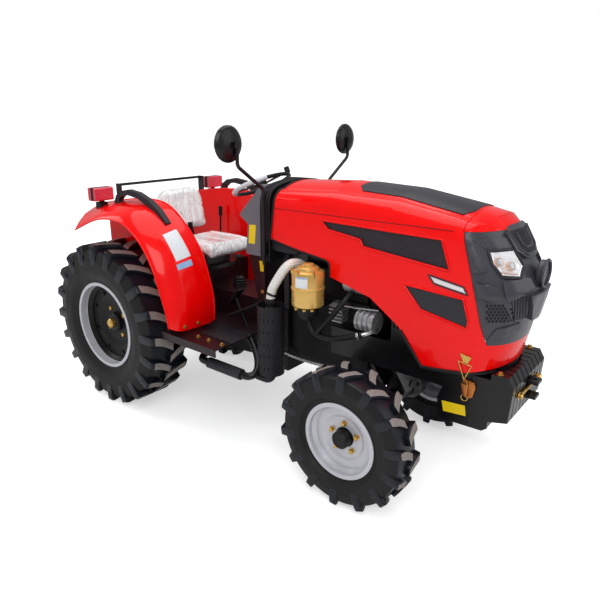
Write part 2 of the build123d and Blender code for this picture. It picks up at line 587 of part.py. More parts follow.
def hitch():
    """Three-point linkage: lift shaft with its arms, lift rods with slotted eyes, and the lower links."""
    arm_end = (LIFT_X - LIFT_ARM * cos(radians(LIFT_RISE)), LIFT_Z + LIFT_ARM * sin(radians(LIFT_RISE)))
    y0, y1 = -LIFT_Y - 8, -LIFT_Y + 8
    shaft = rod((LIFT_X, y0, LIFT_Z), (LIFT_X, -y0, LIFT_Z), LIFT_SHAFT_R)
    dx, dz = arm_end[0] - LIFT_X, arm_end[1] - LIFT_Z
    nx, nz = -dz / LIFT_ARM, dx / LIFT_ARM
    arm = slab("xz", [(LIFT_X + 40 * nx, LIFT_Z + 40 * nz), (arm_end[0] + 22 * nx, arm_end[1] + 22 * nz),
                      (arm_end[0] - 22 * nx, arm_end[1] - 22 * nz), (LIFT_X - 40 * nx, LIFT_Z - 40 * nz)], y0, y1)
    arm += rod((LIFT_X, y0, LIFT_Z), (LIFT_X, y1 + 6, LIFT_Z), 46)
    arm += rod((arm_end[0], y0, arm_end[1]), (arm_end[0], y1, arm_end[1]), 24)
    arm += rod((arm_end[0], y0 - 30, arm_end[1]), (arm_end[0], y0, arm_end[1]), LINK_PIN_R)
    keep("lift_arms", shaft + pair(arm))
    ry0, ry1 = y0 - 4 - 22, y0 - 4
    top, low = arm_end[1], LINK_PIN_Z
    bar = rod((arm_end[0], (ry0 + ry1) / 2, low + 60), (arm_end[0], (ry0 + ry1) / 2, top - 20), 10.5)
    eye = rod((arm_end[0], ry0, top), (arm_end[0], ry1, top), 24)
    eye -= rod((arm_end[0], ry0 - 1, top), (arm_end[0], ry1 + 1, top), LINK_PIN_R + RUN_FIT)
    foot = slab("xz", [(LINK_PIN_X - 32, low - 48), (LINK_PIN_X + 32, low - 48), (LINK_PIN_X + 32, low + 64),
                       (LINK_PIN_X - 32, low + 64)], ry0, ry1)
    foot -= block(LINK_PIN_X - LINK_PIN_R - 10, LINK_PIN_X + LINK_PIN_R + 10, ry0 - 1, ry1 + 1, low - 32, low + 32)
    rod_shape = (bar - rod((arm_end[0], ry0 - 1, top), (arm_end[0], ry1 + 1, top), 24)) + eye + foot
    both("lift_rod", rod_shape)
    ly0, ly1 = -LINK_Y - LINK_HALF, -LINK_Y + LINK_HALF
    outline = [(LINK_PIVOT_X, ly0), (LINK_PIVOT_X, ly1), (-480, ly1), (-620, -LINK_REAR_Y + LINK_HALF),
               (-REAR_REACH + 32, -LINK_REAR_Y + LINK_HALF), (-REAR_REACH + 32, -LINK_REAR_Y - LINK_HALF),
               (-620, -LINK_REAR_Y - LINK_HALF), (-480, ly0)]
    rear_z = LINK_PIN_Z
    link = slab("xy", outline, LINK_PIVOT_Z - 20, LINK_PIVOT_Z + 46)
    link &= slab("xz", [(LINK_PIVOT_X, LINK_PIVOT_Z - 18), (-REAR_REACH + 30, rear_z - 26), (-REAR_REACH + 30, rear_z + 26),
                        (LINK_PIVOT_X, LINK_PIVOT_Z + 18)], -500, -100)
    link += rod((LINK_PIVOT_X, ly0, LINK_PIVOT_Z), (LINK_PIVOT_X, ly1, LINK_PIVOT_Z), 32)
    link += rod((-REAR_REACH + 32, -LINK_REAR_Y - 14, rear_z), (-REAR_REACH + 32, -LINK_REAR_Y + 14, rear_z), 32)
    link += rod((LINK_PIN_X, ly1 - 1, LINK_PIN_Z), (LINK_PIN_X, -LIFT_Y + 16, LINK_PIN_Z), LINK_PIN_R)
    link -= rod((LINK_PIVOT_X, ly0 - 1, LINK_PIVOT_Z), (LINK_PIVOT_X, ly1 + 1, LINK_PIVOT_Z), 14 + RUN_FIT)
    link -= rod((-REAR_REACH + 32, -500, rear_z), (-REAR_REACH + 32, -200, rear_z), LINK_EYE_R)
    both("lower_link", link)


def platform():
    """Operator's floor, the tunnel over the gearbox and the raised deck that carries the seat."""
    t = PLATE
    inner_y = FENDER_IN_Y - SEAT_GAP
    floor = block(640, 1150, -FLOOR_Y, -CASE_HALF - t, FLOOR_Z - t, FLOOR_Z)
    floor += block(640, 1150, -FLOOR_Y, -FLOOR_Y + t, FLOOR_Z - 50, FLOOR_Z - t)
    tunnel = block(400, 1150, -CASE_HALF - t, CASE_HALF + t, FLOOR_Z - t, 880)
    tunnel -= block(399, 1191, -CASE_HALF, CASE_HALF, 0, 880 - t)
    deck = block(-60, 400 + t, -inner_y, inner_y, DECK_Z - t + 50, DECK_Z + 50)
    riser = block(400, 400 + t, -inner_y, inner_y, FLOOR_Z - t, DECK_Z + 50)
    riser -= block(399, 400 + t + 1, -CASE_HALF, CASE_HALF, 0, 880 - t)
    ramp = block(400 + t, 640, -inner_y, -CASE_HALF - t, FLOOR_Z - t, FLOOR_Z)
    bracket = block(900, 960, -330, -CASE_HALF, 640, FLOOR_Z - t)
    keep("platform", pair(floor) + tunnel + deck + riser + pair(ramp) + pair(bracket))


FENDER_INNER = ((838, 735), (842, 890), (802, 1060), (734, 1221), (610, 1365), (460, 1478), (300, 1516),
                (50, 1505), (-300, 1450))
FENDER_OUTER = ((812, 735), (790, 860), (734, 1018), (680, 1150), (585, 1290), (449, 1395), (300, 1445),
                (52, 1425), (-240, 1320))


def fender_line(share, depth):
    """Crown line of a fender in side view: a share of the way from its inner to its outer edge, set in."""
    line = [(a[0] + share * (b[0] - a[0]), a[1] + share * (b[1] - a[1])) for a, b in zip(FENDER_INNER, FENDER_OUTER)]
    moved = []
    for i, (x, z) in enumerate(line):
        before, after = line[max(i - 1, 0)], line[min(i + 1, len(line) - 1)]
        dx, dz = after[0] - before[0], after[1] - before[1]
        size = hypot(dx, dz)
        moved.append((x - depth * dz / size, z + depth * dx / size))
    return moved


def fender():
    """Rear wheel fender: arched and crowned sheet with a rolled outer lip, and the wall by the operator."""
    def band(y, share, depth, thick):
        line = fender_line(share, depth) + fender_line(share, depth + thick)[::-1]
        return Face(Wire.make_polygon([(x, y, z) for x, z in line]))
    wide = FENDER_OUT_Y - FENDER_IN_Y
    rows = [(0, 0.0, 0), (0.3, 0.12, 0), (0.65, 0.45, 0), (0.9, 0.85, 8), (1.0, 1.0, 24)]
    sheet = loft([band(-FENDER_IN_Y - t * wide, share, depth, SHEET) for t, share, depth in rows], ruled=True)
    inner = fender_line(0, SHEET)
    wall = slab("xz", inner + [(-300, 1000), (300, 760), (700, 735)], -FENDER_IN_Y - SHEET, -FENDER_IN_Y)
    keep("fenders", pair(sheet + wall))
    fender_fittings(sheet + wall)


def resting(shape, below):
    """What is left of a shape above the piece that it stands on."""
    return (shape - below).solids().sort_by(Axis.Z)[-1]


def fender_fittings(sheet):
    """Tail lamps and grab handles on the fenders, and the crossbar between them."""
    x, y, z = LAMP_X, LAMP_Y, LAMP_Z
    long, wide, tall = LAMP_LONG / 2, LAMP_WIDE / 2, LAMP_TALL / 2
    body = block(x - 12, x + 22, -y - wide, -y + wide, z - tall, z + tall)
    foot = resting(block(x - 28, x + 30, -y - 32, -y + 32, z - tall - 90, z - tall - 12), sheet)
    stem = block(x - 6, x + 14, -y - 16, -y + 16, z - tall - 12, z - tall)
    keep("fender_lamps", pair(body + foot + stem))
    front = block(x + 22, x + long, -y - wide, -y + wide, z - tall, z + tall)
    rear = block(x - long, x - 12, -y - wide, -y + wide, z - tall, z + tall)
    front = fillet(front.edges().filter_by(Axis.Y).sort_by(Axis.X)[-2:], 12)
    rear = fillet(rear.edges().filter_by(Axis.Y).sort_by(Axis.X)[:2], 12)
    keep("fender_lenses", pair(front + rear))
    outer = [(0, 1440), (4, 1496), (30, 1540), (85, 1574), (170, 1590), (280, 1577), (390, 1539), (490, 1480),
             (572, 1400), (540, 1340)]
    under = [(478, 1400), (455, 1432), (370, 1500), (275, 1538), (170, 1551), (95, 1540), (56, 1510), (60, 1440)]
    grip = slab("xz", outer + under, -HANDLE_Y - 21, -HANDLE_Y + 21)
    feet = (grip - sheet).solids().sort_by(SortBy.VOLUME)[-1]
    bar_y = FENDER_IN_Y + 9
    bar = block(x + 2, x + 22, -bar_y, bar_y, BAR_Z - 9, BAR_Z + 9)
    end = resting(block(x - 12, x + 48, -bar_y - 5, -bar_y + 5, 1440, BAR_Z + 9), sheet)
    keep("grab_rails", pair(feet) + (bar + pair(end)))


def mirrors():
    """Rear-view mirrors: bent arms on brackets beside the cowl, domed housings and their glasses."""
    x, y, z = MIRROR_X, MIRROR_Y, MIRROR_Z
    r = MIRROR_R
    dome = turned_x([(0, -4), (r - 6, -4), (r - 6, -8), (r, -8), (r, 2), (r - 12, 16), (r - 45, 29), (0, 35)], x, -y, z)
    clamp = block(x + 28, x + 56, -y - 4, -y + 36, z - 22, z + 14)
    arm = pipe([(1250, -336, 1190), (1250, -336, 1655), (x + 42, -y + 24, 1800), (x + 42, -y + 24, z)], 11, 40)
    tab = block(1236, 1262, -331, -298, 1250, 1330)
    keep("mirrors", pair(dome + clamp + arm + tab))
    keep("mirror_glass", pair(turned_x([(0, -8), (r - 6 - SEAT_GAP, -8), (r - 6 - SEAT_GAP, -4), (0, -4)], x, -y, z)))


def steps():
    """Boarding steps below the platform: a flat tread on a bent tube."""
    y, z = STEP_Y, STEP_Z
    under = FLOOR_Z - PLATE
    tube = pipe([(930, -y + 200, under - 30), (840, -y, z), (1350, -y, z), (1120, -y + 200, under - 30)], 17, 45)
    tread = block(900, 1290, -y - 42, -y + 42, z + 4, z + 26)
    pads = [block(a - 25, a + 25, -y + 170, -y + 228, under - 45, under) for a in (930, 1120)]
    keep("steps", pair(tube + tread + pads))


def canister():
    """Air cleaner: banded canister with its cap on a round bowl, held by an arm from the engine."""
    x, y, r = 1630.0, -382.0, 95.0
    shell = turned_z([(0, 1020), (r - 7, 1020), (r, 1030), (r, 1120), (r + 3, 1123), (r + 3, 1130), (r, 1133),
                      (r, 1222), (r - 6, 1230), (60, 1238), (55, 1258), (40, 1268), (0, 1268)], x, y, 0)
    keep("air_canister", shell)
    bowl = turned_z([(0, 930), (40, 932), (66, 960), (74, 1000), (74, 1020), (0, 1020)], x, y, 0)
    keep("canister_bowl", bowl + block(x - 30, x + 30, y + 40, -165, 984, 1000))


def engine_fittings():
    """Alternator, compressor and injection pump beside the block, and the hoses and pipes along it."""
    parts = turned_x([(0, 0), (62, 0), (70, 12), (70, 150), (62, 162), (0, 162)], 1800, -226, 1170)
    parts += block(1850, 1890, -226, -140, 1150, 1175)
    case = turned_x([(0, 0), (52, 0), (64, 10), (64, 24), (56, 26), (56, 40), (64, 42), (64, 56), (56, 58), (56, 72),
                     (64, 74), (64, 88), (56, 90), (56, 104), (64, 106), (64, 126), (0, 126)], 1905, -262, 962)
    parts += case + block(1922, 1934, -262, -150, 930, 990)
    finned = block(1690, 1770, -225, -165, 890, 1005)
    for i in range(5):
        finned += block(1684, 1776, -245, -165, 896 + 23 * i, 904 + 23 * i)
    keep("engine_fittings", parts + finned)
    keep("hoses", pipe([(1640, -382, 930 - SEAT_GAP), (1640, -382, 875), (1745, -386, 842), (1900, -380, 870),
                        (1980, -330, 858), (1980, -262, 858), (1980, -262, 898 - SEAT_GAP)], 17, 28))


def controls():
    """Pedals, gear levers with their boot, the hand levers by the seat and the cross rod on the floor."""
    deck, t = FLOOR_Z, PLATE
    tunnel = 880.0
    boot = turned_z([(0, tunnel), (52, tunnel), (52, tunnel + 8), (44, tunnel + 14), (50, tunnel + 24),
                     (40, tunnel + 32), (45, tunnel + 42), (34, tunnel + 50), (38, tunnel + 60), (16, tunnel + 74),
                     (0, tunnel + 74)], 700, 0, 0)
    lever = rod((700, 0, tunnel + 60), (728, -30, 1090), 7) + Pos(730, -32, 1105) * Sphere(22)
    pad = Pos(905, -250, 890) * Rot(0, 36, 0) * Box(14, 70, 150)
    stalk = rod((903, -250, 887), (1010, -250, deck - 1), 9)
    stalk = stalk & block(800, 1100, -300, -200, deck, 1100)
    keep("pedals", pair(pad + stalk))
    right = rod((390, -350, DECK_Z + 40), (527, -300, 1320), 7) + Pos(528, -298, 1345) * Cylinder(17, 50)
    left = rod((140, 350, DECK_Z + 40), (150, 350, 1300), 7) + Pos(152, 350, 1335) * Cylinder(15, 76)
    shape = (right + left) & block(-200, 900, -500, 500, DECK_Z + 50, 1500)
    keep("levers", boot + lever + shape)


def fuel_tank():
    """Fuel tank under the rear of the hood, standing on the engine's bell."""
    tank = slab("xz", [(1275, HEAD_Z + 5), (1475, HEAD_Z + 5), (1475, 1470), (1275, 1500)], -285, 285, 24)
    legs = pair(block(1290, BELL_X - 2, -190, -150, 870, HEAD_Z + 5))
    keep("fuel_tank", tank + legs)


def latch():
    """Toggle latch on the front frame that draws the hood down: plate, body and bail."""
    y = -235.0
    plate = block(2560, 2606, y - 4, y, 640, 770)
    body = block(2566, 2600, y - 26, y - 4, 690, 748)
    keep("latches", pair(plate + body))


def seat():
    """Seat: suspension base with the backrest's carrier, cushion and backrest."""
    deck, pan = DECK_Z + 50, 1110.0
    lean = Pos(110, 0, 1210) * Rot(0, -12, 0)
    base = block(150, 520, -150, 150, deck, deck + 30) + block(190, 480, -120, 120, deck + 30, pan - 20)
    base += block(20, 540, -180, 180, pan - 20, pan)
    base += lean * Pos(-50 - SEAT_GAP, 0, 87) * Box(10, 260, 395)
    keep("seat_base", base)
    keep("seat_cushion", fillet(block(190, 650, -225, 225, pan + SEAT_GAP, 1205).edges(), 22))
    back = lean * Pos(0, 0, 180) * Box(90, 440, 350)
    keep("seat_back", fillet(back.edges(), 25))


def exhaust():
    """Side exhaust: perforated heat shield, tail elbow and the wrapped pipe from the manifold."""
    x, y = 1400.0, -450.0
    shield = turned_z([(80, 545), (82.5, 545), (82.5, 990), (80, 990)], x, y, 0)
    for row in range(5):
        for i in range(8):
            shield -= Pos(x, y, 600 + 78 * row) * Rot(0, 0, 180 + 20 * i) * Pos(81, 0, 0) * Box(12, 5, 16)
    muffler = turned_z([(0, 560), (60, 560), (66, 575), (66, 930), (40, 960), (26, 980), (26, 1000), (0, 1000)], x, y, 0)
    studs = [Pos(x, y, z) * Rot(0, 0, 60 + 120 * i) * Pos(72, 0, 0) * Box(20, 10, 10) for z in (620, 900) for i in range(3)]
    tail = pipe([(x, y, 561), (x, y, 494), (x - 110, y, 494)], 33, 45) - muffler
    keep("exhaust_can", shield + muffler + studs + tail)
    keep("exhaust_pipe", pipe([(x, y, 1000), (x, y, 1045), (x + 100, y + 50, 1240), (x + 100, -210, 1165),
                               (x + 100, -140, 1165)], 24, 32))


def front_end():
    """Front weights on their carrier, and the tow clevis through them."""
    slabs = []
    outline = [(2686, 574), (2790, 600), (2800, 790), (2770, 840), (2686, 840)]
    clevis_hole = block(2680, 2810, -40, 40, 650, 776)
    for i in range(-4, 5):
        slabs.append(slab("xz", outline, 57 * i - 24, 57 * i + 24))
    ties = [rod((2745, -252, z), (2745, 252, z), 9) for z in (625, 808)]
    weights = slabs[0].fuse(*slabs[1:], *ties)
    keep("front_weights", weights - clevis_hole)


def main():
    """Build every node and write one STEP file each."""
    wheels()
    transmission()
    engine()
    radiator()
    front_frame()
    front_axle()
    knuckle()
    tie_rod()
    hood()
    cowl()
    steering_wheel()
    hitch()
    front_end()
    platform()
    fender()
    seat()
    exhaust()
    mirrors()
    steps()
    canister()
    engine_fittings()
    controls()
    fuel_tank()
    latch()
    os.makedirs("parts", exist_ok=True)
    for name, shape in NODES.items():
        export_step(shape, f"parts/{name}.step")


if __name__ == "__main__":
    main()
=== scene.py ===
"""Looks of a compact open-platform farm tractor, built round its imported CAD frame.

Everything is in metres in the frame's own axes: +X forward, +Y to the driver's left, +Z up. Places are
written from the ground point under the rear axle and moved by at().
"""

import json
import logging
from collections.abc import Callable, Iterator
from contextlib import contextmanager
from dataclasses import dataclass
from enum import Enum
from math import atan2, cos, exp, pi, radians, sin, sqrt

import bpy
from mathutils import Matrix, Vector

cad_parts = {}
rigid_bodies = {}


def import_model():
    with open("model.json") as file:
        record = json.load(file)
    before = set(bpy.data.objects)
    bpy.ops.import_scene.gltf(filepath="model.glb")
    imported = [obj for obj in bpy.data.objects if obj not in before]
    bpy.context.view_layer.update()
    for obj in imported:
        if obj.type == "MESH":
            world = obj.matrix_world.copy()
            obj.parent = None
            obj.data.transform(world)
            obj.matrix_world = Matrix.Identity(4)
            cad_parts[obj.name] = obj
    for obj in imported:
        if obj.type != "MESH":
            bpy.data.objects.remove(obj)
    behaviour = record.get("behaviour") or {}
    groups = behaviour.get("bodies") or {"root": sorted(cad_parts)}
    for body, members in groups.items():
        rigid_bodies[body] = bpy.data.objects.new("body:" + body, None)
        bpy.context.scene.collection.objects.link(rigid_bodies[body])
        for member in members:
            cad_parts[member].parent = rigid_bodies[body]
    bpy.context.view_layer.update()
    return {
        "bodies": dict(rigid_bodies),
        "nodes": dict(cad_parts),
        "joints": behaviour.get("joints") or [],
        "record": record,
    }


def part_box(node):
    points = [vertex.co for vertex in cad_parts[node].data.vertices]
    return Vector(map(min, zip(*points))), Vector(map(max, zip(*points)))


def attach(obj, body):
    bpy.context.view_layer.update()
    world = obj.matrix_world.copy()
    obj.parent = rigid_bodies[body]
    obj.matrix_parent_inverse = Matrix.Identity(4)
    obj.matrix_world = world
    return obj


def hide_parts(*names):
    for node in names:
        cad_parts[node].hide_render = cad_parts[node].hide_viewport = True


LOG = logging.getLogger("tractor")
REAR_AXLE_X = -1.0025
WHEELBASE = 2.05
SIDES = (("right", -1), ("left", 1))
MERGE_M = 0.00002  # vertices nearer than this are one
BEVEL_DEG = 28.0  # edges sharper than this are rounded
CREASE_DEG = 32.0  # edges sharper than this stay sharp in the shading
RIBS_PER_UNIT = 20 / (2 * pi)  # bands in one metre of a wave texture at scale 1
Obj = bpy.types.Object
Material = bpy.types.Material
Socket = bpy.types.NodeSocket
Skin = Callable[[float, float, float], Vector]


def at(x: float, y: float, z: float) -> Vector:
    """A place given from the ground point under the rear axle, in the row frame."""
    return Vector((x + REAR_AXLE_X, y, z))


class Turn(Enum):
    """Axes that a turned piece can have."""

    X = (1.0, 0.0, 0.0)
    Y = (0.0, 1.0, 0.0)
    Z = (0.0, 0.0, 1.0)


class Line(Enum):
    """How a bar runs through its places."""

    STRAIGHT = "POLY"
    SMOOTH = "NURBS"


# Materials


def colour(code: str, alpha: float = 1.0) -> tuple:
    """Turns an sRGB hex code into a linear colour.

    Args:
        code: six hex digits.
        alpha: the fourth channel.

    Returns:
        Red, green, blue and alpha.
    """
    channels = []
    for i in (0, 2, 4):
        value = int(code[i:i + 2], 16) / 255
        channels.append(value / 12.92 if value <= 0.04045 else ((value + 0.055) / 1.055) ** 2.4)
    return (*channels, alpha)


def add_node(material: Material | bpy.types.World, kind: str, inputs: dict | None = None,
             **settings: object) -> bpy.types.Node:
    """Adds one shader node.

    Args:
        material: the material or world that gets it.
        kind: the node's type name, without the leading ShaderNode.
        inputs: socket name or number to a value, or to the output socket that feeds it.
        settings: properties of the node itself.

    Returns:
        The new node.
    """
    node = material.node_tree.nodes.new(f"ShaderNode{kind}")
    for key, value in settings.items():
        setattr(node, key, value)
    for key, value in (inputs or {}).items():
        if isinstance(value, Socket):
            material.node_tree.links.new(value, node.inputs[key])
        else:
            node.inputs[key].default_value = value
    return node


@dataclass(frozen=True)
class Finish:
    """A painted, cast, moulded or plated surface.

    The base colour wanders between two tones over patches of one size, the roughness wanders with it,
    and a finer noise raises the surface.
    """

    name: str
    tone: str
    other: str
    roughness: float
    metallic: float = 0.0
    coat: float = 0.0
    patch_mm: float = 90.0
    grain_mm: float = 1.2
    relief_mm: float = 0.02
    spread: float = 0.06
    alpha: float = 1.0
    transmission: float = 0.0
    glow: float = 0.0
    specular: float = 0.3

    def pattern(self, material: Material, place: Socket) -> Socket | None:
        """Height pattern of a finish that has one, or None for plain grain."""
        return None

    def build(self) -> Material:
        """Makes the material, or finds the one made before."""
        found = bpy.data.materials.get(self.name)
        if found:
            return found
        material = bpy.data.materials.new(self.name)
        material.use_nodes = True
        material.node_tree.nodes.clear()
        place = add_node(material, "TexCoord").outputs["Object"]
        patches = add_node(material, "TexNoise", {"Vector": place, "Scale": 1000 / self.patch_mm, "Detail": 3.0})
        grain = add_node(material, "TexNoise", {"Vector": place, "Scale": 1000 / self.grain_mm, "Detail": 4.0})
        mix = add_node(material, "Mix", {0: patches.outputs[0], 6: colour(self.tone), 7: colour(self.other)},
                       data_type="RGBA")
        rough = add_node(material, "MapRange", {0: patches.outputs[0], 1: 0.3, 2: 0.7,
                                                3: max(self.roughness - self.spread, 0.02),
                                                4: min(self.roughness + self.spread, 1.0)})
        bump = add_node(material, "Bump", {"Height": grain.outputs[0], "Strength": 1.0,
                                           "Distance": self.relief_mm / 1000})
        pattern = self.pattern(material, place)
        if pattern:
            bump = add_node(material, "Bump", {"Height": pattern, "Strength": 1.0, "Distance": 0.001,
                                               "Normal": bump.outputs[0]})
        shader = add_node(material, "BsdfPrincipled",
                          {"Base Color": self.tint(material, place, mix.outputs[2]), "Roughness": rough.outputs[0],
                           "Metallic": self.metallic, "Coat Weight": self.coat, "Coat Roughness": 0.04,
                           "Alpha": self.alpha, "Specular IOR Level": self.specular,
                           "Transmission Weight": self.transmission,
                           "Emission Color": colour(self.tone), "Emission Strength": self.glow,
                           "Normal": bump.outputs[0]})
        add_node(material, "OutputMaterial", {"Surface": shader.outputs[0]})
        return material

    def tint(self, material: Material, place: Socket,
             base: Socket) -> Socket:
        """Colour of the finish; kinds with a pattern in their colour change it here."""
        return base


@dataclass(frozen=True)
class Ribbed(Finish):
    """A finish with parallel ribs across one direction."""

    pitch_mm: float = 10.0
    along: str = "X"
    depth_mm: float = 1.0

    def pattern(self, material: Material, place: Socket) -> Socket:
        """Bands one pitch apart."""
        wave = add_node(material, "TexWave", {"Vector": place, "Scale": 1000 / self.pitch_mm / RIBS_PER_UNIT},
                        wave_type="BANDS", bands_direction=self.along)
        return add_node(material, "Math", {0: wave.outputs[1], 1: self.depth_mm}, operation="MULTIPLY").outputs[0]


@dataclass(frozen=True)
class Zoned(Finish):
    """A finish on a wheel that changes colour inside a radius about the axle."""

    zone_m: float = 0.26
    inside: str = "0B0A0B"
    axle: tuple = (0.0, 0.0)

    def tint(self, material: Material, place: Socket,
             base: Socket) -> Socket:
        """Puts the inside colour nearer to the axle than the zone's radius.

        Args:
            material: the material.
            place: Object coordinates.
            base: the colour without it.

        Returns:
            The colour.
        """
        apart = add_node(material, "SeparateXYZ", {0: place})
        x = add_node(material, "Math", {0: apart.outputs[0], 1: self.axle[0]}, operation="SUBTRACT")
        z = add_node(material, "Math", {0: apart.outputs[2], 1: self.axle[1]}, operation="SUBTRACT")
        flat = add_node(material, "CombineXYZ", {0: x.outputs[0], 2: z.outputs[0]})
        size = add_node(material, "VectorMath", {0: flat.outputs[0]}, operation="LENGTH")
        step = add_node(material, "MapRange", {0: size.outputs[1], 1: self.zone_m - 0.0005, 2: self.zone_m})
        return add_node(material, "Mix", {0: step.outputs[0], 6: colour(self.inside), 7: base},
                        data_type="RGBA").outputs[2]


@dataclass(frozen=True)
class Wrinkled(Finish):
    """A loose film over the surface, with long creases that run down it, and painted shade in the creases."""

    wrinkle_mm: float = 90.0
    depth_mm: float = 3.0
    # colour of the painted shade in the bottom of the creases
    crease: str = "B4AFB4"

    def creases(self, material: Material, place: Socket, width: float) -> Socket:
        """Finds the creases.

        Args:
            material: the material.
            place: Object coordinates.
            width: how far a crease reaches.

        Returns:
            Zero along each crease, one a width away from it.
        """
        scaled = add_node(material, "Mapping", {"Vector": place, "Scale": (0.45, 1.5, 0.55)})
        folds = add_node(material, "TexNoise", {"Vector": scaled.outputs[0], "Scale": 1000 / self.wrinkle_mm,
                                                "Detail": 3.0, "Distortion": 0.8})
        away = add_node(material, "Math", {0: folds.outputs[0], 1: 0.5}, operation="SUBTRACT")
        size = add_node(material, "Math", {0: away.outputs[0]}, operation="ABSOLUTE")
        return add_node(material, "MapRange", {0: size.outputs[0], 1: 0.0, 2: width}).outputs[0]

    def pattern(self, material: Material, place: Socket) -> Socket:
        """Film that dips into its creases."""
        return add_node(material, "Math", {0: self.creases(material, place, 0.14), 1: self.depth_mm},
                        operation="MULTIPLY").outputs[0]

    def tint(self, material: Material, place: Socket,
             base: Socket) -> Socket:
        """The base, with painted shade that darkens the bottom of the creases."""
        return add_node(material, "Mix", {0: self.creases(material, place, 0.018), 6: colour(self.crease), 7: base},
                        data_type="RGBA").outputs[2]


@dataclass(frozen=True)
class Cellular(Finish):
    """A finish with a net of raised cells, such as checker plate or perforated sheet."""

    cell_mm: float = 8.0
    depth_mm: float = 0.8
    # colour of the painted shade on the recessed borders, if any
    dark: str = ""

    def cells(self, material: Material, place: Socket) -> Socket:
        """Distance to the edge of each cell."""
        net = add_node(material, "TexVoronoi", {"Vector": place, "Scale": 1000 / self.cell_mm},
                       feature="DISTANCE_TO_EDGE")
        return net.outputs[0]

    def pattern(self, material: Material, place: Socket) -> Socket:
        """Cells raised above their borders."""
        step = add_node(material, "MapRange", {0: self.cells(material, place), 1: 0.02, 2: 0.16, 3: 0.0,
                                               4: self.depth_mm})
        return step.outputs[0]

    def tint(self, material: Material, place: Socket,
             base: Socket) -> Socket:
        """Darkens the cells' borders with painted shade where the finish names a colour for them.

        Args:
            material: the material.
            place: Object coordinates.
            base: the colour without it.

        Returns:
            The colour.
        """
        if not self.dark:
            return base
        edge = add_node(material, "MapRange", {0: self.cells(material, place), 1: 0.05, 2: 0.12})
        return add_node(material, "Mix", {0: edge.outputs[0], 6: colour(self.dark), 7: base},
                        data_type="RGBA").outputs[2]


# Gloss enamel sprayed on pressed steel panels
RED_ENAMEL = Finish("red_gloss_enamel", "F20202", "FB0404", 0.2, coat=0.3, relief_mm=0.004, grain_mm=3.0,
                    spread=0.03, specular=0.15)
# Semi-gloss chassis enamel sprayed on plate and castings
BLACK_ENAMEL = Finish("black_chassis_enamel", "0A090B", "110F13", 0.34, coat=0.15, relief_mm=0.03, grain_mm=2.0)
# Sand-cast iron with thin black paint
CAST_BLACK = Finish("black_painted_cast_iron", "0B0A0B", "121011", 0.5, relief_mm=0.12, grain_mm=1.6)
# High-temperature paint on rolled steel
HEAT_BLACK = Finish("matt_heat_resistant_paint", "161418", "1D1A1D", 0.55, relief_mm=0.03, grain_mm=0.9)
# Dark plum enamel on the platform plates
PLUM_ENAMEL = Finish("plum_platform_enamel", "1A0E12", "261519", 0.38, coat=0.1, relief_mm=0.03, grain_mm=1.8)
# Silver wheel enamel
SILVER_ENAMEL = Finish("silver_wheel_enamel", "B9BAC0", "CFCFD4", 0.34, metallic=0.35, relief_mm=0.012,
                       grain_mm=0.8)
REAR_RIM_ENAMEL = Zoned("silver_rim_with_black_well", "B9BAC0", "CFCFD4", 0.34, metallic=0.2, relief_mm=0.012,
                        grain_mm=0.8, zone_m=0.297, axle=(REAR_AXLE_X, 0.605))
# Injection-moulded grained polypropylene
DARK_MOULDING = Finish("dark_grained_moulding", "1E1D21", "27262B", 0.42, relief_mm=0.05, grain_mm=0.9)
GREY_MOULDING = Finish("grey_cowl_moulding", "66646C", "727078", 0.45, relief_mm=0.04, grain_mm=0.9)
INLAY_MOULDING = Finish("satin_inlay_moulding", "26252A", "313036", 0.36, relief_mm=0.03, grain_mm=0.9)
MASK_MOULDING = Finish("charcoal_mask_moulding", "36363C", "424248", 0.34, relief_mm=0.04, grain_mm=0.9,
                        coat=0.25)
# Perforated steel sheet behind the hood's windows, with painted shade on the cells' recessed borders
SIDE_MESH = Cellular("perforated_side_mesh", "29262B", "332F35", 0.4, cell_mm=5.0, depth_mm=0.6, dark="1B181C")
# Vulcanized rubber: new sidewalls, and the moulded skin between the lugs
TYRE_RUBBER = Finish("vulcanized_tyre_rubber", "0D0B0B", "171413", 0.55, relief_mm=0.06, grain_mm=1.4)
TREAD_RUBBER = Finish("glossy_tread_rubber", "101217", "1B1E26", 0.32, relief_mm=0.05, grain_mm=2.5)
# Rubber with dust ground into its worn crests
WORN_RUBBER = Finish("dusty_worn_rubber", "756E6A", "9B948F", 0.8, relief_mm=0.3, grain_mm=2.2, patch_mm=25)
# Extruded and moulded rubber
BLACK_RUBBER = Finish("moulded_black_rubber", "0C0B0E", "131216", 0.5, relief_mm=0.04, grain_mm=0.8)
RIBBED_RUBBER = Ribbed("ribbed_arch_rubber", "0C0B0E", "131216", 0.42, pitch_mm=22, along="X", depth_mm=5.0)
STEP_GRIP = Cellular("checkered_step_plate", "2A282C", "35333A", 0.5, cell_mm=7.0, depth_mm=1.2)
FLOOR_MAT = Ribbed("ribbed_floor_mat", "1A161A", "241D22", 0.5, pitch_mm=18, along="X", depth_mm=2.0)
# Yellow zinc plating, and brass-coloured enamel of the filter can
GOLD_PLATING = Finish("yellow_zinc_plating", "B8893A", "E2C070", 0.28, metallic=0.85, relief_mm=0.02,
                      patch_mm=12, grain_mm=0.8)
GOLD_ENAMEL = Finish("gold_filter_enamel", "CFA04A", "E2BC6A", 0.24, metallic=0.4, coat=0.5, relief_mm=0.006)
COPPER_PLATING = Finish("heat_tinted_plating", "A25A2B", "C98346", 0.32, metallic=0.8, relief_mm=0.03, patch_mm=14)
# Raw die-cast and drawn metal
RAW_ALUMINIUM = Finish("die_cast_aluminium", "8F8E90", "C3C2C4", 0.38, metallic=0.8, relief_mm=0.08, patch_mm=30)
BRIGHT_STEEL = Finish("bright_turned_steel", "A9A8AA", "C9C8CB", 0.22, metallic=0.95, relief_mm=0.01)
MIRROR_SILVER = Finish("silvered_mirror_glass", "C9CDD3", "D3D7DC", 0.03, metallic=1.0, relief_mm=0.0)
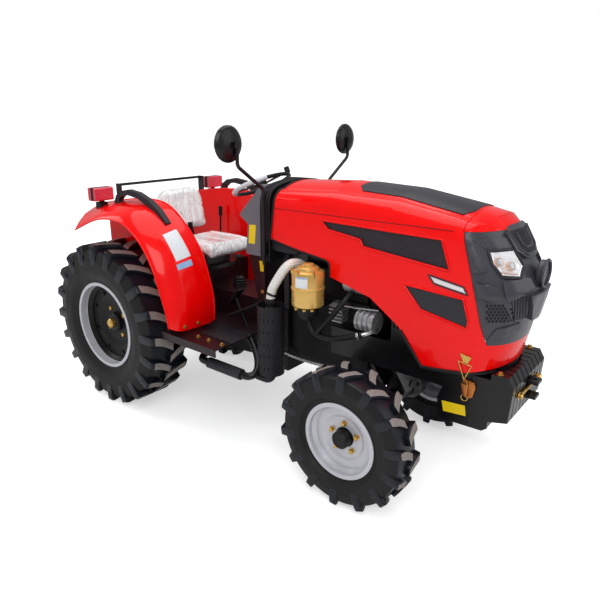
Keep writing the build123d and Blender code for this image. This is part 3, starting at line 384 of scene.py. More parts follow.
# Clear and red lamp mouldings, with the reflectors behind them
CLEAR_LENS = Finish("clear_lamp_lens", "F3F6F8", "FFFFFF", 0.05, alpha=0.16, relief_mm=0.004, specular=0.5)
# The reflector's glow is painted light: it stands in for the bright reflections in the chrome.
LAMP_CHROME = Finish("vacuum_metallized_reflector", "E6E8EC", "FFFFFF", 0.2, metallic=0.6, relief_mm=0.01,
                     glow=0.22)
# The lens's faint glow is painted light that brightens the red.
RED_LENS = Ribbed("ribbed_red_lens", "C40E22", "E0405A", 0.12, coat=0.8, pitch_mm=9, along="Z", depth_mm=0.8,
                  glow=0.06)
MARKER_LENS = Ribbed("fluted_marker_lens", "E4DCDC", "F6F2F2", 0.12, coat=0.6, pitch_mm=6, along="X", depth_mm=0.5)
# Bonded fibre wrap with foil
HEAT_WRAP = Ribbed("spiral_heat_wrap", "D9D5CF", "F2EFEA", 0.45, pitch_mm=14, along="Z", depth_mm=2.0,
                   metallic=0.15)
# Seat vinyl under a loose dust film, with painted shade in the film's creases
FILMED_VINYL = Wrinkled("vinyl_under_dust_film", "E9E8E8", "FAFAFA", 0.16, coat=0.9, wrinkle_mm=90.0, depth_mm=4.0,
                        patch_mm=40, spread=0.1, crease="B4AFB4")
# Printed film labels, left blank
YELLOW_LABEL = Finish("yellow_label_film", "EDC90F", "F2D320", 0.35, coat=0.3, relief_mm=0.004)
WHITE_LABEL = Finish("white_label_film", "D9DDE2", "E8EAEE", 0.35, coat=0.3, relief_mm=0.004)
BLUE_LABEL = Finish("blue_label_film", "4E8FD0", "B9D2EA", 0.35, coat=0.3, relief_mm=0.004, patch_mm=18)
WRAP_FILM = Finish("loose_white_wrap", "B9BBC0", "E4E6EA", 0.3, coat=0.5, relief_mm=1.2, grain_mm=18, patch_mm=25)

NODE_FINISHES = (
    ("rear_tyre", TYRE_RUBBER), ("front_tyre", TYRE_RUBBER), ("rear_rim", REAR_RIM_ENAMEL),
    ("front_rim", SILVER_ENAMEL), ("rear_disc", CAST_BLACK), ("front_hub", CAST_BLACK), ("hood_top", RED_ENAMEL),
    ("hood_sides", RED_ENAMEL), ("hood_band", RED_ENAMEL), ("hood_inlay", INLAY_MOULDING),
    ("hood_mesh", SIDE_MESH), ("grille_mask", MASK_MOULDING), ("headlamps", CLEAR_LENS),
    ("marker_lamps", MARKER_LENS), ("fender_lamps", BLACK_RUBBER), ("fender_lenses", RED_LENS),
    ("fenders", RED_ENAMEL), ("grab_rails", DARK_MOULDING), ("mirror_glass", MIRROR_SILVER),
    ("mirrors", BLACK_ENAMEL), ("seat_base", BLACK_ENAMEL), ("seat_", FILMED_VINYL),
    ("dash_cowl", GREY_MOULDING), ("console", PLUM_ENAMEL), ("platform", PLUM_ENAMEL),
    ("rubber_arch", RIBBED_RUBBER), ("steering_wheel", BLACK_RUBBER), ("steps", BLACK_ENAMEL),
    ("air_canister", GOLD_ENAMEL), ("canister_bowl", CAST_BLACK), ("engine_fittings", RAW_ALUMINIUM),
    ("engine", CAST_BLACK), ("hoses", BLACK_RUBBER), ("levers", CAST_BLACK), ("pedals", CAST_BLACK),
    ("fuel_tank", DARK_MOULDING), ("latches", COPPER_PLATING), ("exhaust_can", HEAT_BLACK),
    ("exhaust_pipe", HEAT_WRAP), ("transmission", CAST_BLACK),
)


def finish_of(name: str) -> Finish:
    """The finish that a CAD node's name asks for."""
    return next((kind for prefix, kind in NODE_FINISHES if name.startswith(prefix)), BLACK_ENAMEL)


def dress(obj: Obj, finish: Finish) -> None:
    """Gives an object one finish."""
    obj.data.materials.clear()
    obj.data.materials.append(finish.build())


# Modelling


def activate(obj: Obj) -> None:
    """Makes one object the only selected and active one."""
    bpy.ops.object.select_all(action="DESELECT")
    obj.select_set(True)
    bpy.context.view_layer.objects.active = obj


@contextmanager
def editing(obj: Obj) -> Iterator[None]:
    """Edit mode on one mesh, with all of it selected, for as long as a with block lasts."""
    activate(obj)
    bpy.ops.object.mode_set(mode="EDIT")
    bpy.ops.mesh.select_all(action="SELECT")
    yield
    bpy.ops.object.mode_set(mode="OBJECT")


def shown(name: str, data: bpy.types.ID) -> Obj:
    """Makes a mesh or curve a new object of the scene.

    Args:
        name: the object's name.
        data: the mesh or curve that it shows.

    Returns:
        The new object, active.
    """
    obj = bpy.data.objects.new(name, data)
    bpy.context.scene.collection.objects.link(obj)
    activate(obj)
    return obj


def drawn(name: str, places: list, edges: list, faces: list) -> Obj:
    """Makes a start of wires or faces, to be shaped further.

    Args:
        name: the object's name.
        places: its corners.
        edges: pairs of corner numbers.
        faces: rings of corner numbers.

    Returns:
        The new object, active.
    """
    mesh = bpy.data.meshes.new(name)
    mesh.from_pydata(places, edges, faces)
    return shown(name, mesh)


def settle(obj: Obj, name: str) -> Obj:
    """Moves a finished object's place into its mesh.

    Args:
        obj: the object.
        name: the name that it gets.

    Returns:
        The same object.
    """
    activate(obj)
    bpy.ops.object.transform_apply(location=True, rotation=True, scale=True)
    obj.name = obj.data.name = name
    return obj


def apply_modifiers(obj: Obj) -> None:
    """Applies every modifier of an object, in order."""
    activate(obj)
    for modifier in list(obj.modifiers):
        bpy.ops.object.modifier_apply(modifier=modifier.name)


def bevel(obj: Obj, width: float, segments: int = 2) -> Obj:
    """Rounds the sharp edges of an object and shades it smooth.

    Args:
        obj: the object.
        width: how far each rounding reaches from its edge.
        segments: faces across each rounding.

    Returns:
        The same object.
    """
    activate(obj)
    modifier = obj.modifiers.new("round", "BEVEL")
    modifier.width, modifier.segments, modifier.limit_method = width, segments, "ANGLE"
    modifier.angle_limit = radians(BEVEL_DEG)
    apply_modifiers(obj)
    bpy.ops.object.shade_smooth_by_angle(angle=radians(CREASE_DEG))
    return obj


def block(name: str, low: Vector, high: Vector, round_off: float = 0.0) -> Obj:
    """Makes a rectangular block.

    Args:
        name: the new object's name.
        low: its corner with the lowest numbers.
        high: its corner with the highest numbers.
        round_off: width of the rounding of its edges, if any.

    Returns:
        The block.
    """
    middle, size = (low + high) / 2, high - low
    bpy.ops.mesh.primitive_cube_add(size=1, location=middle, scale=(abs(size.x), abs(size.y), abs(size.z)))
    obj = settle(bpy.context.object, name)
    return bevel(obj, round_off) if round_off else obj


def cylinder(name: str, start: Vector, end: Vector, radius: float, sides: int = 24,
             round_off: float = 0.0) -> Obj:
    """Makes a round or many-sided bar.

    Args:
        name: the new object's name.
        start: middle of one end.
        end: middle of the other end.
        radius: its radius over the corners.
        sides: flats round it.
        round_off: width of the rounding of its edges, if any.

    Returns:
        The bar.
    """
    along = end - start
    bpy.ops.mesh.primitive_cylinder_add(vertices=sides, radius=radius, depth=along.length,
                                        location=(start + end) / 2, rotation=along.to_track_quat("Z", "X").to_euler())
    obj = settle(bpy.context.object, name)
    return bevel(obj, round_off) if round_off else obj


def lathe(name: str, profile: list, centre: Vector, turn: Turn = Turn.Y, steps: int = 64) -> Obj:
    """Spins a profile about an axis through a centre.

    Args:
        name: the new object's name.
        profile: pairs of radius and place along the axis.
        centre: a place on the axis.
        turn: the axis.
        steps: flats round the turn.

    Returns:
        The spun object, smooth-shaded.
    """
    axis = Vector(turn.value)
    out = Vector((0, 0, 1)) if turn is not Turn.Z else Vector((1, 0, 0))
    obj = drawn(name, [centre + out * r + axis * t for r, t in profile],
                [(i, i + 1) for i in range(len(profile) - 1)], [])
    with editing(obj):
        bpy.ops.mesh.spin(steps=steps, angle=2 * pi, center=centre, axis=axis)
        bpy.ops.mesh.select_all(action="SELECT")
        bpy.ops.mesh.remove_doubles(threshold=MERGE_M)
        bpy.ops.mesh.normals_make_consistent(inside=False)
    bpy.ops.object.shade_smooth_by_angle(angle=radians(CREASE_DEG))
    return obj


def swept(name: str, places: list, radius: float, line: Line, rounds: int, cyclic: bool) -> Obj:
    """Makes a round bar along a line.

    Args:
        name: the new object's name.
        places: the line's places.
        radius: the bar's radius.
        line: whether the bar goes from place to place or flows by them.
        rounds: how fine the bar's round is.
        cyclic: whether the last place joins the first.

    Returns:
        The bar as a mesh.
    """
    curve = bpy.data.curves.new(name, "CURVE")
    curve.dimensions, curve.bevel_depth, curve.bevel_resolution = "3D", radius, rounds
    curve.use_fill_caps = not cyclic
    spline = curve.splines.new(line.value)
    spline.points.add(len(places) - 1)
    for point, place in zip(spline.points, places):
        point.co = (*place, 1.0)
    spline.use_cyclic_u = cyclic
    if line is Line.SMOOTH:
        spline.order_u, spline.use_endpoint_u, spline.resolution_u = 3, True, 8
    shown(name, curve)
    bpy.ops.object.convert(target="MESH")
    bpy.ops.object.shade_smooth()
    return bpy.context.object


def tube(name: str, places: list, radius: float) -> Obj:
    """Round tube that flows by its places."""
    return swept(name, places, radius, Line.SMOOTH, 4, False)


def bead(name: str, places: list, radius: float, cyclic: bool = True, rounds: int = 3) -> Obj:
    """Round moulding through places, closed or open."""
    return swept(name, places, radius, Line.STRAIGHT, rounds, cyclic)


def join(name: str, pieces: list) -> Obj:
    """Joins pieces into one object, keeping the finish of each.

    Args:
        name: the joined object's name.
        pieces: the objects, of which the first stays.

    Returns:
        The joined object.
    """
    activate(pieces[0])
    for piece in pieces:
        piece.select_set(True)
    bpy.ops.object.join()
    pieces[0].name = pieces[0].data.name = name
    return pieces[0]


def mirrored(name: str, piece: Obj) -> Obj:
    """Copies a right-hand piece to the left.

    Args:
        name: the copy's name.
        piece: the right-hand piece.

    Returns:
        The copy, with a mesh of its own.
    """
    copy = shown(name, piece.data.copy())
    copy.data.name = name
    copy.data.transform(Matrix.Scale(-1, 4, (0, 1, 0)))
    copy.data.flip_normals()
    return copy


def seat_piece(piece: Obj, body: str, replaces: tuple = ()) -> None:
    """Fixes a finished piece to its body.

    Args:
        piece: the piece.
        body: the body that it moves with.
        replaces: the CAD nodes that it stands for.
    """
    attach(piece, body)
    if replaces:
        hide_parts(*replaces)
    LOG.info("%s: %d faces on %s", piece.name, len(piece.data.polygons), body)


def fit(piece: Obj, finish: Finish, body: str, replaces: tuple = ()) -> None:
    """Dresses a piece in one finish and fixes it to its body.

    Args:
        piece: the piece.
        finish: its finish.
        body: the body that it moves with.
        replaces: the CAD nodes that it stands for.
    """
    dress(piece, finish)
    seat_piece(piece, body, replaces)


def ring_of(count: int, radius: float, centre: Vector, phase: float = 0.0) -> list:
    """Spaces places evenly on an upright circle.

    Args:
        count: how many places.
        radius: the circle's radius.
        centre: the circle's centre.
        phase: angle of the first place.

    Returns:
        The places.
    """
    return [centre + Vector((radius * cos(phase + 2 * pi * i / count), 0, radius * sin(phase + 2 * pi * i / count)))
            for i in range(count)]


def hex_bolt(place: Vector, facing: Vector, across: float, tall: float) -> Obj:
    """Makes a hexagon bolt head on its washer.

    Args:
        place: where it stands.
        facing: direction away from the surface that it stands on.
        across: width over the head's flats.
        tall: height of the head.

    Returns:
        The bolt.
    """
    seat = place + facing * 0.0025
    washer = cylinder("washer", place, seat, across * 0.78, 20, 0.0006)
    head = cylinder("head", seat, seat + facing * tall, across * 0.577, 6, 0.001)
    return join("bolt", [washer, head])


# Assemblies


@dataclass
class Tyre:
    """Traction tyre: a smooth casing with slanted lugs whose crests are dusty."""

    name: str
    centre: Vector
    radius: float
    width: float
    seat: float
    rim_half: float
    lugs: int
    lug_height: float
    lug_width: float

    def casing(self) -> Obj:
        """Sidewalls, shoulders and the tread's floor."""
        half, top = self.width / 2, self.radius - self.lug_height
        bead = self.rim_half - 0.016
        wall = top - self.seat
        side = [(self.seat - 0.003, bead - 0.002), (self.seat + 0.012, bead + 0.006),
                (self.seat + 0.03, bead + 0.014), (self.seat + 0.034, bead + 0.014),
                (self.seat + 0.05 * wall + 0.03, bead + 0.018),
                (self.seat + 0.3 * wall, half * 0.975), (self.seat + 0.46 * wall, half),
                (self.seat + 0.62 * wall, half * 0.992), (self.seat + 0.66 * wall, half * 0.999),
                (self.seat + 0.69 * wall, half * 0.985), (self.seat + 0.88 * wall, half * 0.93),
                (top - 0.004, half * 0.87), (top, half * 0.8)]
        profile = side + [(top + 0.002, 0.0)] + [(r, -t) for r, t in reversed(side)]
        return lathe("casing", profile, self.centre, Turn.Y, 120)

    def lug(self, side: int) -> Obj:
        """Makes one lug: a bar from the middle of the tread over the shoulder, trailing as it goes.

        Args:
            side: 1 for a lug on the tyre's left half, -1 for one on its right half.

        Returns:
            The lug at the foot of the tyre.
        """
        slant, half, stations = 0.26 * self.width, self.width / 2, 9
        reach = slant / 2 + self.lug_width / 2
        angle = -pi / 2 + atan2(reach, sqrt(self.radius**2 - reach**2))
        verts, faces = [], []
        for i in range(stations):
            s = i / (stations - 1)
            y = side * (-0.03 * self.width + (half + 0.03 * self.width) * min(s * 1.12, 1.0))
            run = slant / 2 - slant * s - 0.06 * self.width * sin(pi * s)
            drop = 0.0 if s < 0.85 else (s - 0.85) / 0.15 * self.lug_height * 1.35
            thin = 1.0 - 0.25 * max(0.0, (s - 0.8) / 0.2)
            crest = self.radius - 0.0006 - drop
            foot = self.radius - self.lug_height * 1.4 - drop * 0.9 - self.lug_height * max(0.0, s - 0.75) * 4
            for height, wide in ((foot, self.lug_width / 2 + 0.009), (crest, self.lug_width / 2 * thin)):
                for shift in (-wide, wide):
                    turn = angle - (run + shift) / self.radius
                    verts.append(self.centre + Vector((height * cos(turn), y, height * sin(turn))))
            if i:
                a, b = 4 * (i - 1), 4 * i
                faces += [(a, a + 1, b + 1, b), (a + 3, a + 2, b + 2, b + 3), (a + 2, a, b, b + 2),
                          (a + 1, a + 3, b + 3, b + 1)]
        last = 4 * (stations - 1)
        faces += [(1, 0, 2, 3), (last, last + 1, last + 3, last + 2)]
        return drawn("lug", verts, [], faces)

    def build(self) -> Obj:
        """Makes the tyre.

        Returns:
            Casing and lugs as one object, with the crests in a finish of their own.
        """
        pair = [self.lug(1), self.lug(-1)]
        ring = []
        for index in range(2 * self.lugs):
            copy = shown("lug", pair[index % 2].data.copy())
            copy.data.transform(Matrix.Translation(self.centre) @ Matrix.Rotation(-pi * index / self.lugs, 4, "Y")
                                @ Matrix.Translation(-self.centre))
            ring.append(copy)
        for first in pair:
            bpy.data.objects.remove(first)
        lugs = join("lugs", ring)
        with editing(lugs):
            bpy.ops.mesh.normals_make_consistent(inside=False)
        bevel(lugs, 0.0035)
        dress(lugs, TREAD_RUBBER)
        lugs.data.materials.append(WORN_RUBBER.build())
        for face in lugs.data.polygons:
            out = self.spoke(face)
            if out.length > self.radius - 0.004 and face.normal.dot(out.normalized()) > 0.8:
                face.material_index = 1
        casing = self.casing()
        dress(casing, TYRE_RUBBER)
        casing.data.materials.append(TREAD_RUBBER.build())
        for face in casing.data.polygons:
            if self.spoke(face).length > self.radius - self.lug_height - 0.006:
                face.material_index = 1
        return join(self.name, [casing, lugs])

    def spoke(self, face: bpy.types.MeshPolygon) -> Vector:
        """From the axle straight out to the middle of a face."""
        arm = face.center - self.centre
        return Vector((arm.x, 0, arm.z))


@dataclass
class Wheels:
    """The four tyres and the fasteners on the wheels' discs."""

    rear_radius: float = 0.605
    front_radius: float = 0.4
    rear_y: float = 0.58
    front_y: float = 0.57
    rear_bolt_circle: float = 0.112
    front_bolt_circle: float = 0.083

    def build(self) -> None:
        """Builds every tyre and bolt circle and fixes it to its wheel."""
        for side, sign in SIDES:
            rear = at(0, sign * self.rear_y, self.rear_radius)
            front = at(WHEELBASE, sign * self.front_y, self.front_radius)
            tyre = Tyre(f"rear_tyre_rubber_{side}", rear, self.rear_radius, width=0.345, seat=0.3048,
                        rim_half=0.148, lugs=20, lug_height=0.04, lug_width=0.058)
            seat_piece(tyre.build(), f"rear_wheel_{side}", (f"rear_tyre_{side}",))
            tyre = Tyre(f"front_tyre_rubber_{side}", front, self.front_radius, width=0.205, seat=0.2032,
                        rim_half=0.082, lugs=14, lug_height=0.031, lug_width=0.046)
            seat_piece(tyre.build(), f"front_wheel_{side}", (f"front_tyre_{side}",))
            self.rear_fasteners(side, sign, rear)
            self.front_fasteners(side, sign, front)

    def rear_fasteners(self, side: str, sign: int, centre: Vector) -> None:
        """Fits the bolts of the rear disc and the cap on its hub.

        Args:
            side: the side's name.
            sign: -1 on the right, 1 on the left.
            centre: the wheel's centre.
        """
        out = Vector((0, sign, 0))
        face = centre + out * 0.02
        bolts = [hex_bolt(p, out, 0.03, 0.02) for p in ring_of(4, self.rear_bolt_circle, face, radians(35))]
        foot = centre + out * 0.07
        cap = lathe("cap", [(0.0, 0.03), (0.026, 0.03), (0.034, 0.022), (0.034, 0.0)], foot, Turn.Y, 32)
        if sign < 0:
            cap.data.transform(Matrix.Translation(foot) @ Matrix.Scale(-1, 4, (0, 1, 0)) @ Matrix.Translation(-foot))
        fit(join(f"rear_wheel_fasteners_{side}", bolts + [cap]), GOLD_PLATING, f"rear_wheel_{side}")

    def front_fasteners(self, side: str, sign: int, centre: Vector) -> None:
        """Fits the nuts of the front disc.

        Args:
            side: the side's name.
            sign: -1 on the right, 1 on the left.
            centre: the wheel's centre.
        """
        out = Vector((0, sign, 0))
        face = centre + out * 0.0205
        bolts = [hex_bolt(p, out, 0.022, 0.018) for p in ring_of(5, self.front_bolt_circle, face, radians(20))]
        fit(join(f"front_wheel_fasteners_{side}", bolts), GOLD_PLATING, f"front_wheel_{side}")


def between(table: tuple, value: float) -> float:
    """Reads a table, straight between its entries.

    Args:
        table: pairs of a value and what it stands for, in rising order.
        value: the value to look up.

    Returns:
        What the value stands for.
    """
    for (a, u), (b, v) in zip(table, table[1:]):
        if value <= b:
            return u + (v - u) * max(0.0, (value - a) / (b - a))
    return table[-1][1]


def along(points: tuple, share: float) -> Vector:
    """Finds a place on a smooth line.

    Args:
        points: the places that the line runs through.
        share: share of the line's way.

    Returns:
        The place.
    """
    spot = min(max(share, 0.0), 1.0) * (len(points) - 1)
    i = min(int(spot), len(points) - 2)
    t = spot - i
    a, b, c, d = (Vector(points[min(max(j, 0), len(points) - 1)]) for j in (i - 1, i, i + 1, i + 2))
    return 0.5 * ((2 * b) + (c - a) * t + (2 * a - 5 * b + 4 * c - d) * t * t + (3 * b - a - 3 * c + d) * t**3)


def closed_loop(outline: tuple, step: float) -> list:
    """Spaces places round an outline, for a line that follows a curved skin.

    Args:
        outline: the outline's corners.
        step: greatest distance between two places, roughly.

    Returns:
        The places, corners included.
    """
    spots = []
    for (ax, az), (bx, bz) in zip(outline, outline[1:] + outline[:1]):
        count = max(2, int(sqrt((bx - ax) ** 2 + (bz - az) ** 2) / step))
        spots += [(ax + (bx - ax) * i / count, az + (bz - az) * i / count) for i in range(count)]
    return spots


def thicken(obj: Obj, thickness: float) -> None:
    """Gives a sheet its wall, inwards from its face."""
    wall = obj.modifiers.new("wall", "SOLIDIFY")
    wall.thickness, wall.offset = thickness, -1.0
    apply_modifiers(obj)


def laid_sheet(name: str, outline: tuple, place: Skin, lift: float, thickness: float, corner: float = 0.0,
               step: float = 0.02) -> Obj:
    """Sheet cut to an outline and laid on a curved skin.

    Args:
        name: the new object's name.
        outline: corners in the skin's two directions.
        place: gives the place on the skin for two directions and a lift.
        lift: how far the sheet's face stands off the skin.
        thickness: the sheet's thickness, inwards from its face.
        corner: radius of the rounded corners.
        step: greatest spacing of the cuts that let the sheet bend.

    Returns:
        The sheet, with rounded edges.
    """
    obj = drawn(name, [(x, 0, z) for x, z in outline], [], [list(range(len(outline)))])
    mesh = obj.data
    with editing(obj):
        if corner:
            bpy.ops.mesh.bevel(offset=corner, segments=4, affect="VERTICES")
        for axis, facing in ((0, Turn.X), (1, Turn.Z)):
            low, high = min(p[axis] for p in outline), max(p[axis] for p in outline)
            count = int((high - low) / step)
            for i in range(1, count + 1):
                cut = low + (high - low) * i / (count + 1)
                bpy.ops.mesh.select_all(action="SELECT")
                bpy.ops.mesh.bisect(plane_co=Vector(facing.value) * cut, plane_no=facing.value)
    u, v = outline[0]
    out = place(u, v, 0.01) - place(u, v, 0.0)
    for vertex in mesh.vertices:
        vertex.co = place(vertex.co.x, vertex.co.z, lift)
    mesh.update()
    if sum((face.normal.dot(out) * face.area for face in mesh.polygons)) < 0:
        mesh.flip_normals()
    thicken(obj, thickness)
    return bevel(obj, min(thickness * 0.3, 0.002))


def plate(name: str, outline: tuple, low: float, high: float) -> Obj:
    """Makes a flat upright plate.

    Args:
        name: the new object's name.
        outline: its corners in side view.
        low: place of its right face across the machine.
        high: place of its left face across the machine.

    Returns:
        The plate.
    """
    obj = drawn(name, [at(x, low, z) for x, z in outline], [], [list(range(len(outline)))])
    with editing(obj):
        bpy.ops.mesh.extrude_region_move(TRANSFORM_OT_translate={"value": (0, high - low, 0)})
        bpy.ops.mesh.select_all(action="SELECT")
        bpy.ops.mesh.normals_make_consistent(inside=False)
    return obj


def both_sides(name: str, right: Obj) -> Obj:
    """A right-hand piece joined with its mirror image."""
    return join(name, [right, mirrored(name + "_left", right)])


@dataclass
class SmoothedNodes:
    """Copies of CAD nodes with their doubles merged and their curved faces shaded smooth."""

    nodes: dict
    angle_deg: float = 38.0
    merge_m: float = 0.00003

    def copy(self, node: str, name: str) -> Obj:
        """Copies one node, merged and smoothed.

        Args:
            node: the node's name.
            name: the copy's name.

        Returns:
            The copy, at the node's place.
        """
        obj = shown(name, self.nodes[node].data.copy())
        obj.data.name = name
        with editing(obj):
            bpy.ops.mesh.remove_doubles(threshold=self.merge_m)
            bpy.ops.mesh.customdata_custom_splitnormals_clear()
        bpy.ops.object.shade_smooth_by_angle(angle=radians(self.angle_deg))
        even = obj.modifiers.new("even", "WEIGHTED_NORMAL")
        even.keep_sharp = True
        apply_modifiers(obj)
        return obj

    def build(self, bodies: dict) -> None:
        """Smooths a list of nodes, each in its own finish.

        Args:
            bodies: the body of each node, by the node's name.
        """
        for node, body in bodies.items():
            fit(self.copy(node, f"{node}_smoothed"), finish_of(node), body, replaces=(node,))


@dataclass(frozen=True)
class HoodSkin:
    """Outer skin of the hood: its flanks, and the nose that turns across the front."""

    half: tuple = ((1.28, 0.299), (1.7, 0.308), (2.1, 0.312), (2.45, 0.307), (2.88, 0.296))
    nose: tuple = ((0.78, 2.70), (1.02, 2.762), (1.262, 2.80), (1.379, 2.741), (1.537, 2.643), (1.596, 2.587),
                   (1.82, 2.56))
    plan: tuple = ((0.0, 0.0), (0.014, 0.12), (0.062, 0.225), (0.15, 0.3), (0.215, 0.33))
    girth: tuple = ((0.0, 0.0, 0.0), (0.1208, 0.014, 0.12), (0.2363, 0.062, 0.225), (0.3519, 0.15, 0.3),
                    (0.3535, 0.1515, 0.3035), (1.2, 0.998, 0.3035))
    nose_depth: float = 0.215
    probe: float = 0.004

    def width(self, x: float, z: float) -> float:
        """Half width of the skin at a place in side view."""
        back = between(self.nose, z) - x
        half = between(self.half, x)
        return min(half, between(self.plan, back)) if back < self.nose_depth else half

    def reach(self, y: float, z: float) -> float:
        """Foremost x of the skin at a place in front view."""
        return between(self.nose, z) - between(tuple((b, a) for a, b in self.plan), abs(y))

    def flank(self, x: float, z: float, lift: float = 0.0) -> Vector:
        """Finds a place on the right flank.

        Args:
            x: its place along the machine.
            z: its height.
            lift: how far off the skin.

        Returns:
            The place.
        """
        e = self.probe
        slope_x = (self.width(x + e, z) - self.width(x - e, z)) / (2 * e)
        slope_z = (self.width(x, z + e) - self.width(x, z - e)) / (2 * e)
        return at(x, -self.width(x, z), z) - Vector((slope_x, 1, slope_z)).normalized() * lift

    def wrap(self, girth: float, z: float, lift: float = 0.0) -> Vector:
        """Finds a place on the nose by its distance round the plan.

        Args:
            girth: distance from the middle, positive on the right.
            z: its height.
            lift: how far off the skin.

        Returns:
            The place.
        """
        def spot(s: float, level: float) -> Vector:
            """Place on the skin itself."""
            back = between(tuple((g, b) for g, b, _ in self.girth), abs(s))
            wide = between(tuple((g, w) for g, _, w in self.girth), abs(s))
            return at(between(self.nose, level) - back, -wide if s > 0 else wide, level)

        e = self.probe
        normal = (spot(girth, z + e) - spot(girth, z - e)).cross(spot(girth + e, z) - spot(girth - e, z)).normalized()
        outward = Vector((1, -1 if girth > 0 else 1, 0))
        return spot(girth, z) + normal * (lift if normal.dot(outward) > 0 else -lift)

    def front(self, y: float, z: float, lift: float = 0.0) -> Vector:
        """Finds a place on the nose by its place in front view.

        Args:
            y: its place across the machine.
            z: its height.
            lift: how far off the skin.

        Returns:
            The place.
        """
        e = self.probe
        slope_y = (self.reach(y + e, z) - self.reach(y - e, z)) / (2 * e)
        slope_z = (self.reach(y, z + e) - self.reach(y, z - e)) / (2 * e)
        return at(self.reach(y, z), y, z) + Vector((1, -slope_y, -slope_z)).normalized() * lift


@dataclass
class Hood:
    """Hood panels with their windows, lamps, rubber trims and the charcoal mask on the nose."""

    skin: HoodSkin
    smooth: SmoothedNodes
    seam: float = 1.541
    upper_window: tuple = ((1.656, 1.51), (2.393, 1.493), (2.448, 1.341), (1.947, 1.395), (1.926, 1.431),
                           (1.713, 1.46))
    lower_window: tuple = ((2.199, 1.234), (2.527, 1.214), (2.563, 1.108), (2.557, 1.065), (2.305, 1.114))
    marker: tuple = ((2.334, 1.306), (2.521, 1.274), (2.545, 1.238), (2.37, 1.266))
    lamp: tuple = ((0.278, 1.456), (0.129, 1.453), (0.119, 1.375), (0.165, 1.325), (0.267, 1.340), (0.29, 1.394))
    lamp_middle: tuple = (0.2, 1.395)
    eyes: tuple = ((0.235, 1.41), (0.17, 1.385))
    crest: tuple = ((0.142, 1.520), (0.09, 1.549), (-0.09, 1.549), (-0.142, 1.520), (-0.132, 1.44), (-0.07, 1.40),
                    (0.07, 1.40), (0.132, 1.44))
    crest_level: float = 1.49
    keel: tuple = ((0.145, 1.250), (-0.145, 1.250), (-0.07, 1.10), (0.07, 1.10))
    mask_sheets: tuple = (
        ("eyelid", ((0.335, 1.508), (0.10, 1.505), (0.10, 1.458), (0.286, 1.462)), 0.010, 0.014, 0.01),
        ("brow", ((0.362, 1.495), (0.302, 1.489), (0.303, 1.45), (0.325, 1.36), (0.398, 1.355), (0.381, 1.42)),
         0.010, 0.014, 0.012),
        ("cheek", ((0.405, 1.312), (0.312, 1.296), (0.296, 1.232), (0.402, 1.240)), 0.014, 0.018, 0.014),
        ("ridge", ((0.275, 1.316), (0.118, 1.322), (0.10, 1.268), (0.185, 1.262), (0.262, 1.226), (0.286, 1.262)),
         0.017, 0.021, 0.012),
        ("louvre_bed", ((0.255, 1.258), (0.14, 1.252), (0.10, 1.112), (0.185, 1.108)), 0.008, 0.012, 0.008),
        ("hex_bed", ((0.366, 1.222), (0.262, 1.206), (0.196, 1.116), (0.334, 1.112)), 0.006, 0.010, 0.006),
        ("jaw", ((0.278, 1.084), (0.14, 1.106), (0.125, 1.062), (0.31, 1.016)), 0.012, 0.016, 0.01))

    def build(self) -> None:
        """Builds the panels, then what is set into them."""
        self.panels()
        self.nose()
        self.windows()
        self.lamps()
        self.mask_panels()
        self.trims()

    def panels(self) -> None:
        """Red panels and the inlay, smooth over the loft's lines."""
        for node in ("hood_top", "hood_band", "hood_inlay", "hood_sides"):
            fit(self.smooth.copy(node, f"{node}_panel"), finish_of(node), "hood", replaces=(node,))
        spots = [self.skin.flank(1.31 + 0.03 * i, self.seam) for i in range(39)]
        fit(both_sides("hood_seam_lines", bead("line", spots, 0.0016, False)), CAST_BLACK, "hood")
        corner = ((1.300, self.seam - 0.001), (1.3605, self.seam - 0.001), (1.3605, 1.5005), (1.2775, 1.366))
        piece = both_sides("hood_rear_corners", laid_sheet("corner", corner, self.skin.flank, 0.0, 0.005))
        fit(piece, RED_ENAMEL, "hood")

    def nose(self) -> None:
        """Red cap above the seam and the charcoal mask below it, cut from the nose at one level."""
        for name, keep_top, finish in (("nose_cap", True, RED_ENAMEL), ("nose_mask", False, MASK_MOULDING)):
            piece = self.smooth.copy("grille_mask", name)
            with editing(piece):
                bpy.ops.mesh.bisect(plane_co=(0, 0, self.seam + (0.0 if keep_top else -0.001)), plane_no=(0, 0, 1),
                                    clear_inner=keep_top, clear_outer=not keep_top, use_fill=True)
            if not keep_top:
                self.open_lamps(piece)
            bpy.ops.object.shade_smooth_by_angle(angle=radians(50))
            fit(piece, finish, "hood", replaces=("grille_mask",))

    def open_lamps(self, mask: Obj) -> None:
        """Cuts the lamps' openings.

        Args:
            mask: the mask, which gets them.
        """
        cutter = both_sides("cutter", laid_sheet("cutter", self.lamp, self.skin.wrap, 0.03, 0.09, 0.004))
        hole = mask.modifiers.new("lamps", "BOOLEAN")
        hole.operation, hole.object = "DIFFERENCE", cutter
        apply_modifiers(mask)
        bpy.data.objects.remove(cutter)
        activate(mask)

    def windows(self) -> None:
        """Raised red lips round the windows, with the satin cover of the lower one."""
        lips = [bead("lip", [self.skin.flank(x, z, 0.001) for x, z in closed_loop(outline, 0.02)], 0.006)
                for outline in (self.upper_window, self.lower_window)]
        fit(both_sides("window_lips", join("lips", lips)), RED_ENAMEL, "hood")
        cover = laid_sheet("cover", self.lower_window, self.skin.flank, -0.0015, 0.003, 0.012)
        fit(both_sides("lower_window_covers", cover), INLAY_MOULDING, "hood")

    def lamps(self) -> None:
        """Headlamps with bezel, reflector, two projectors and a clear lens, and the framed marker lamps."""
        skin = self.skin
        mid_s, mid_z = self.lamp_middle
        spots = closed_loop(self.lamp, 0.012)
        bezel = bead("bezel", [skin.wrap(s, z, 0.005) for s, z in spots], 0.009)
        frame = bead("frame", [skin.flank(x, z, 0.002) for x, z in closed_loop(self.marker, 0.02)], 0.0042)
        fit(both_sides("lamp_frames", join("frames", [bezel, frame])), INLAY_MOULDING, "hood")

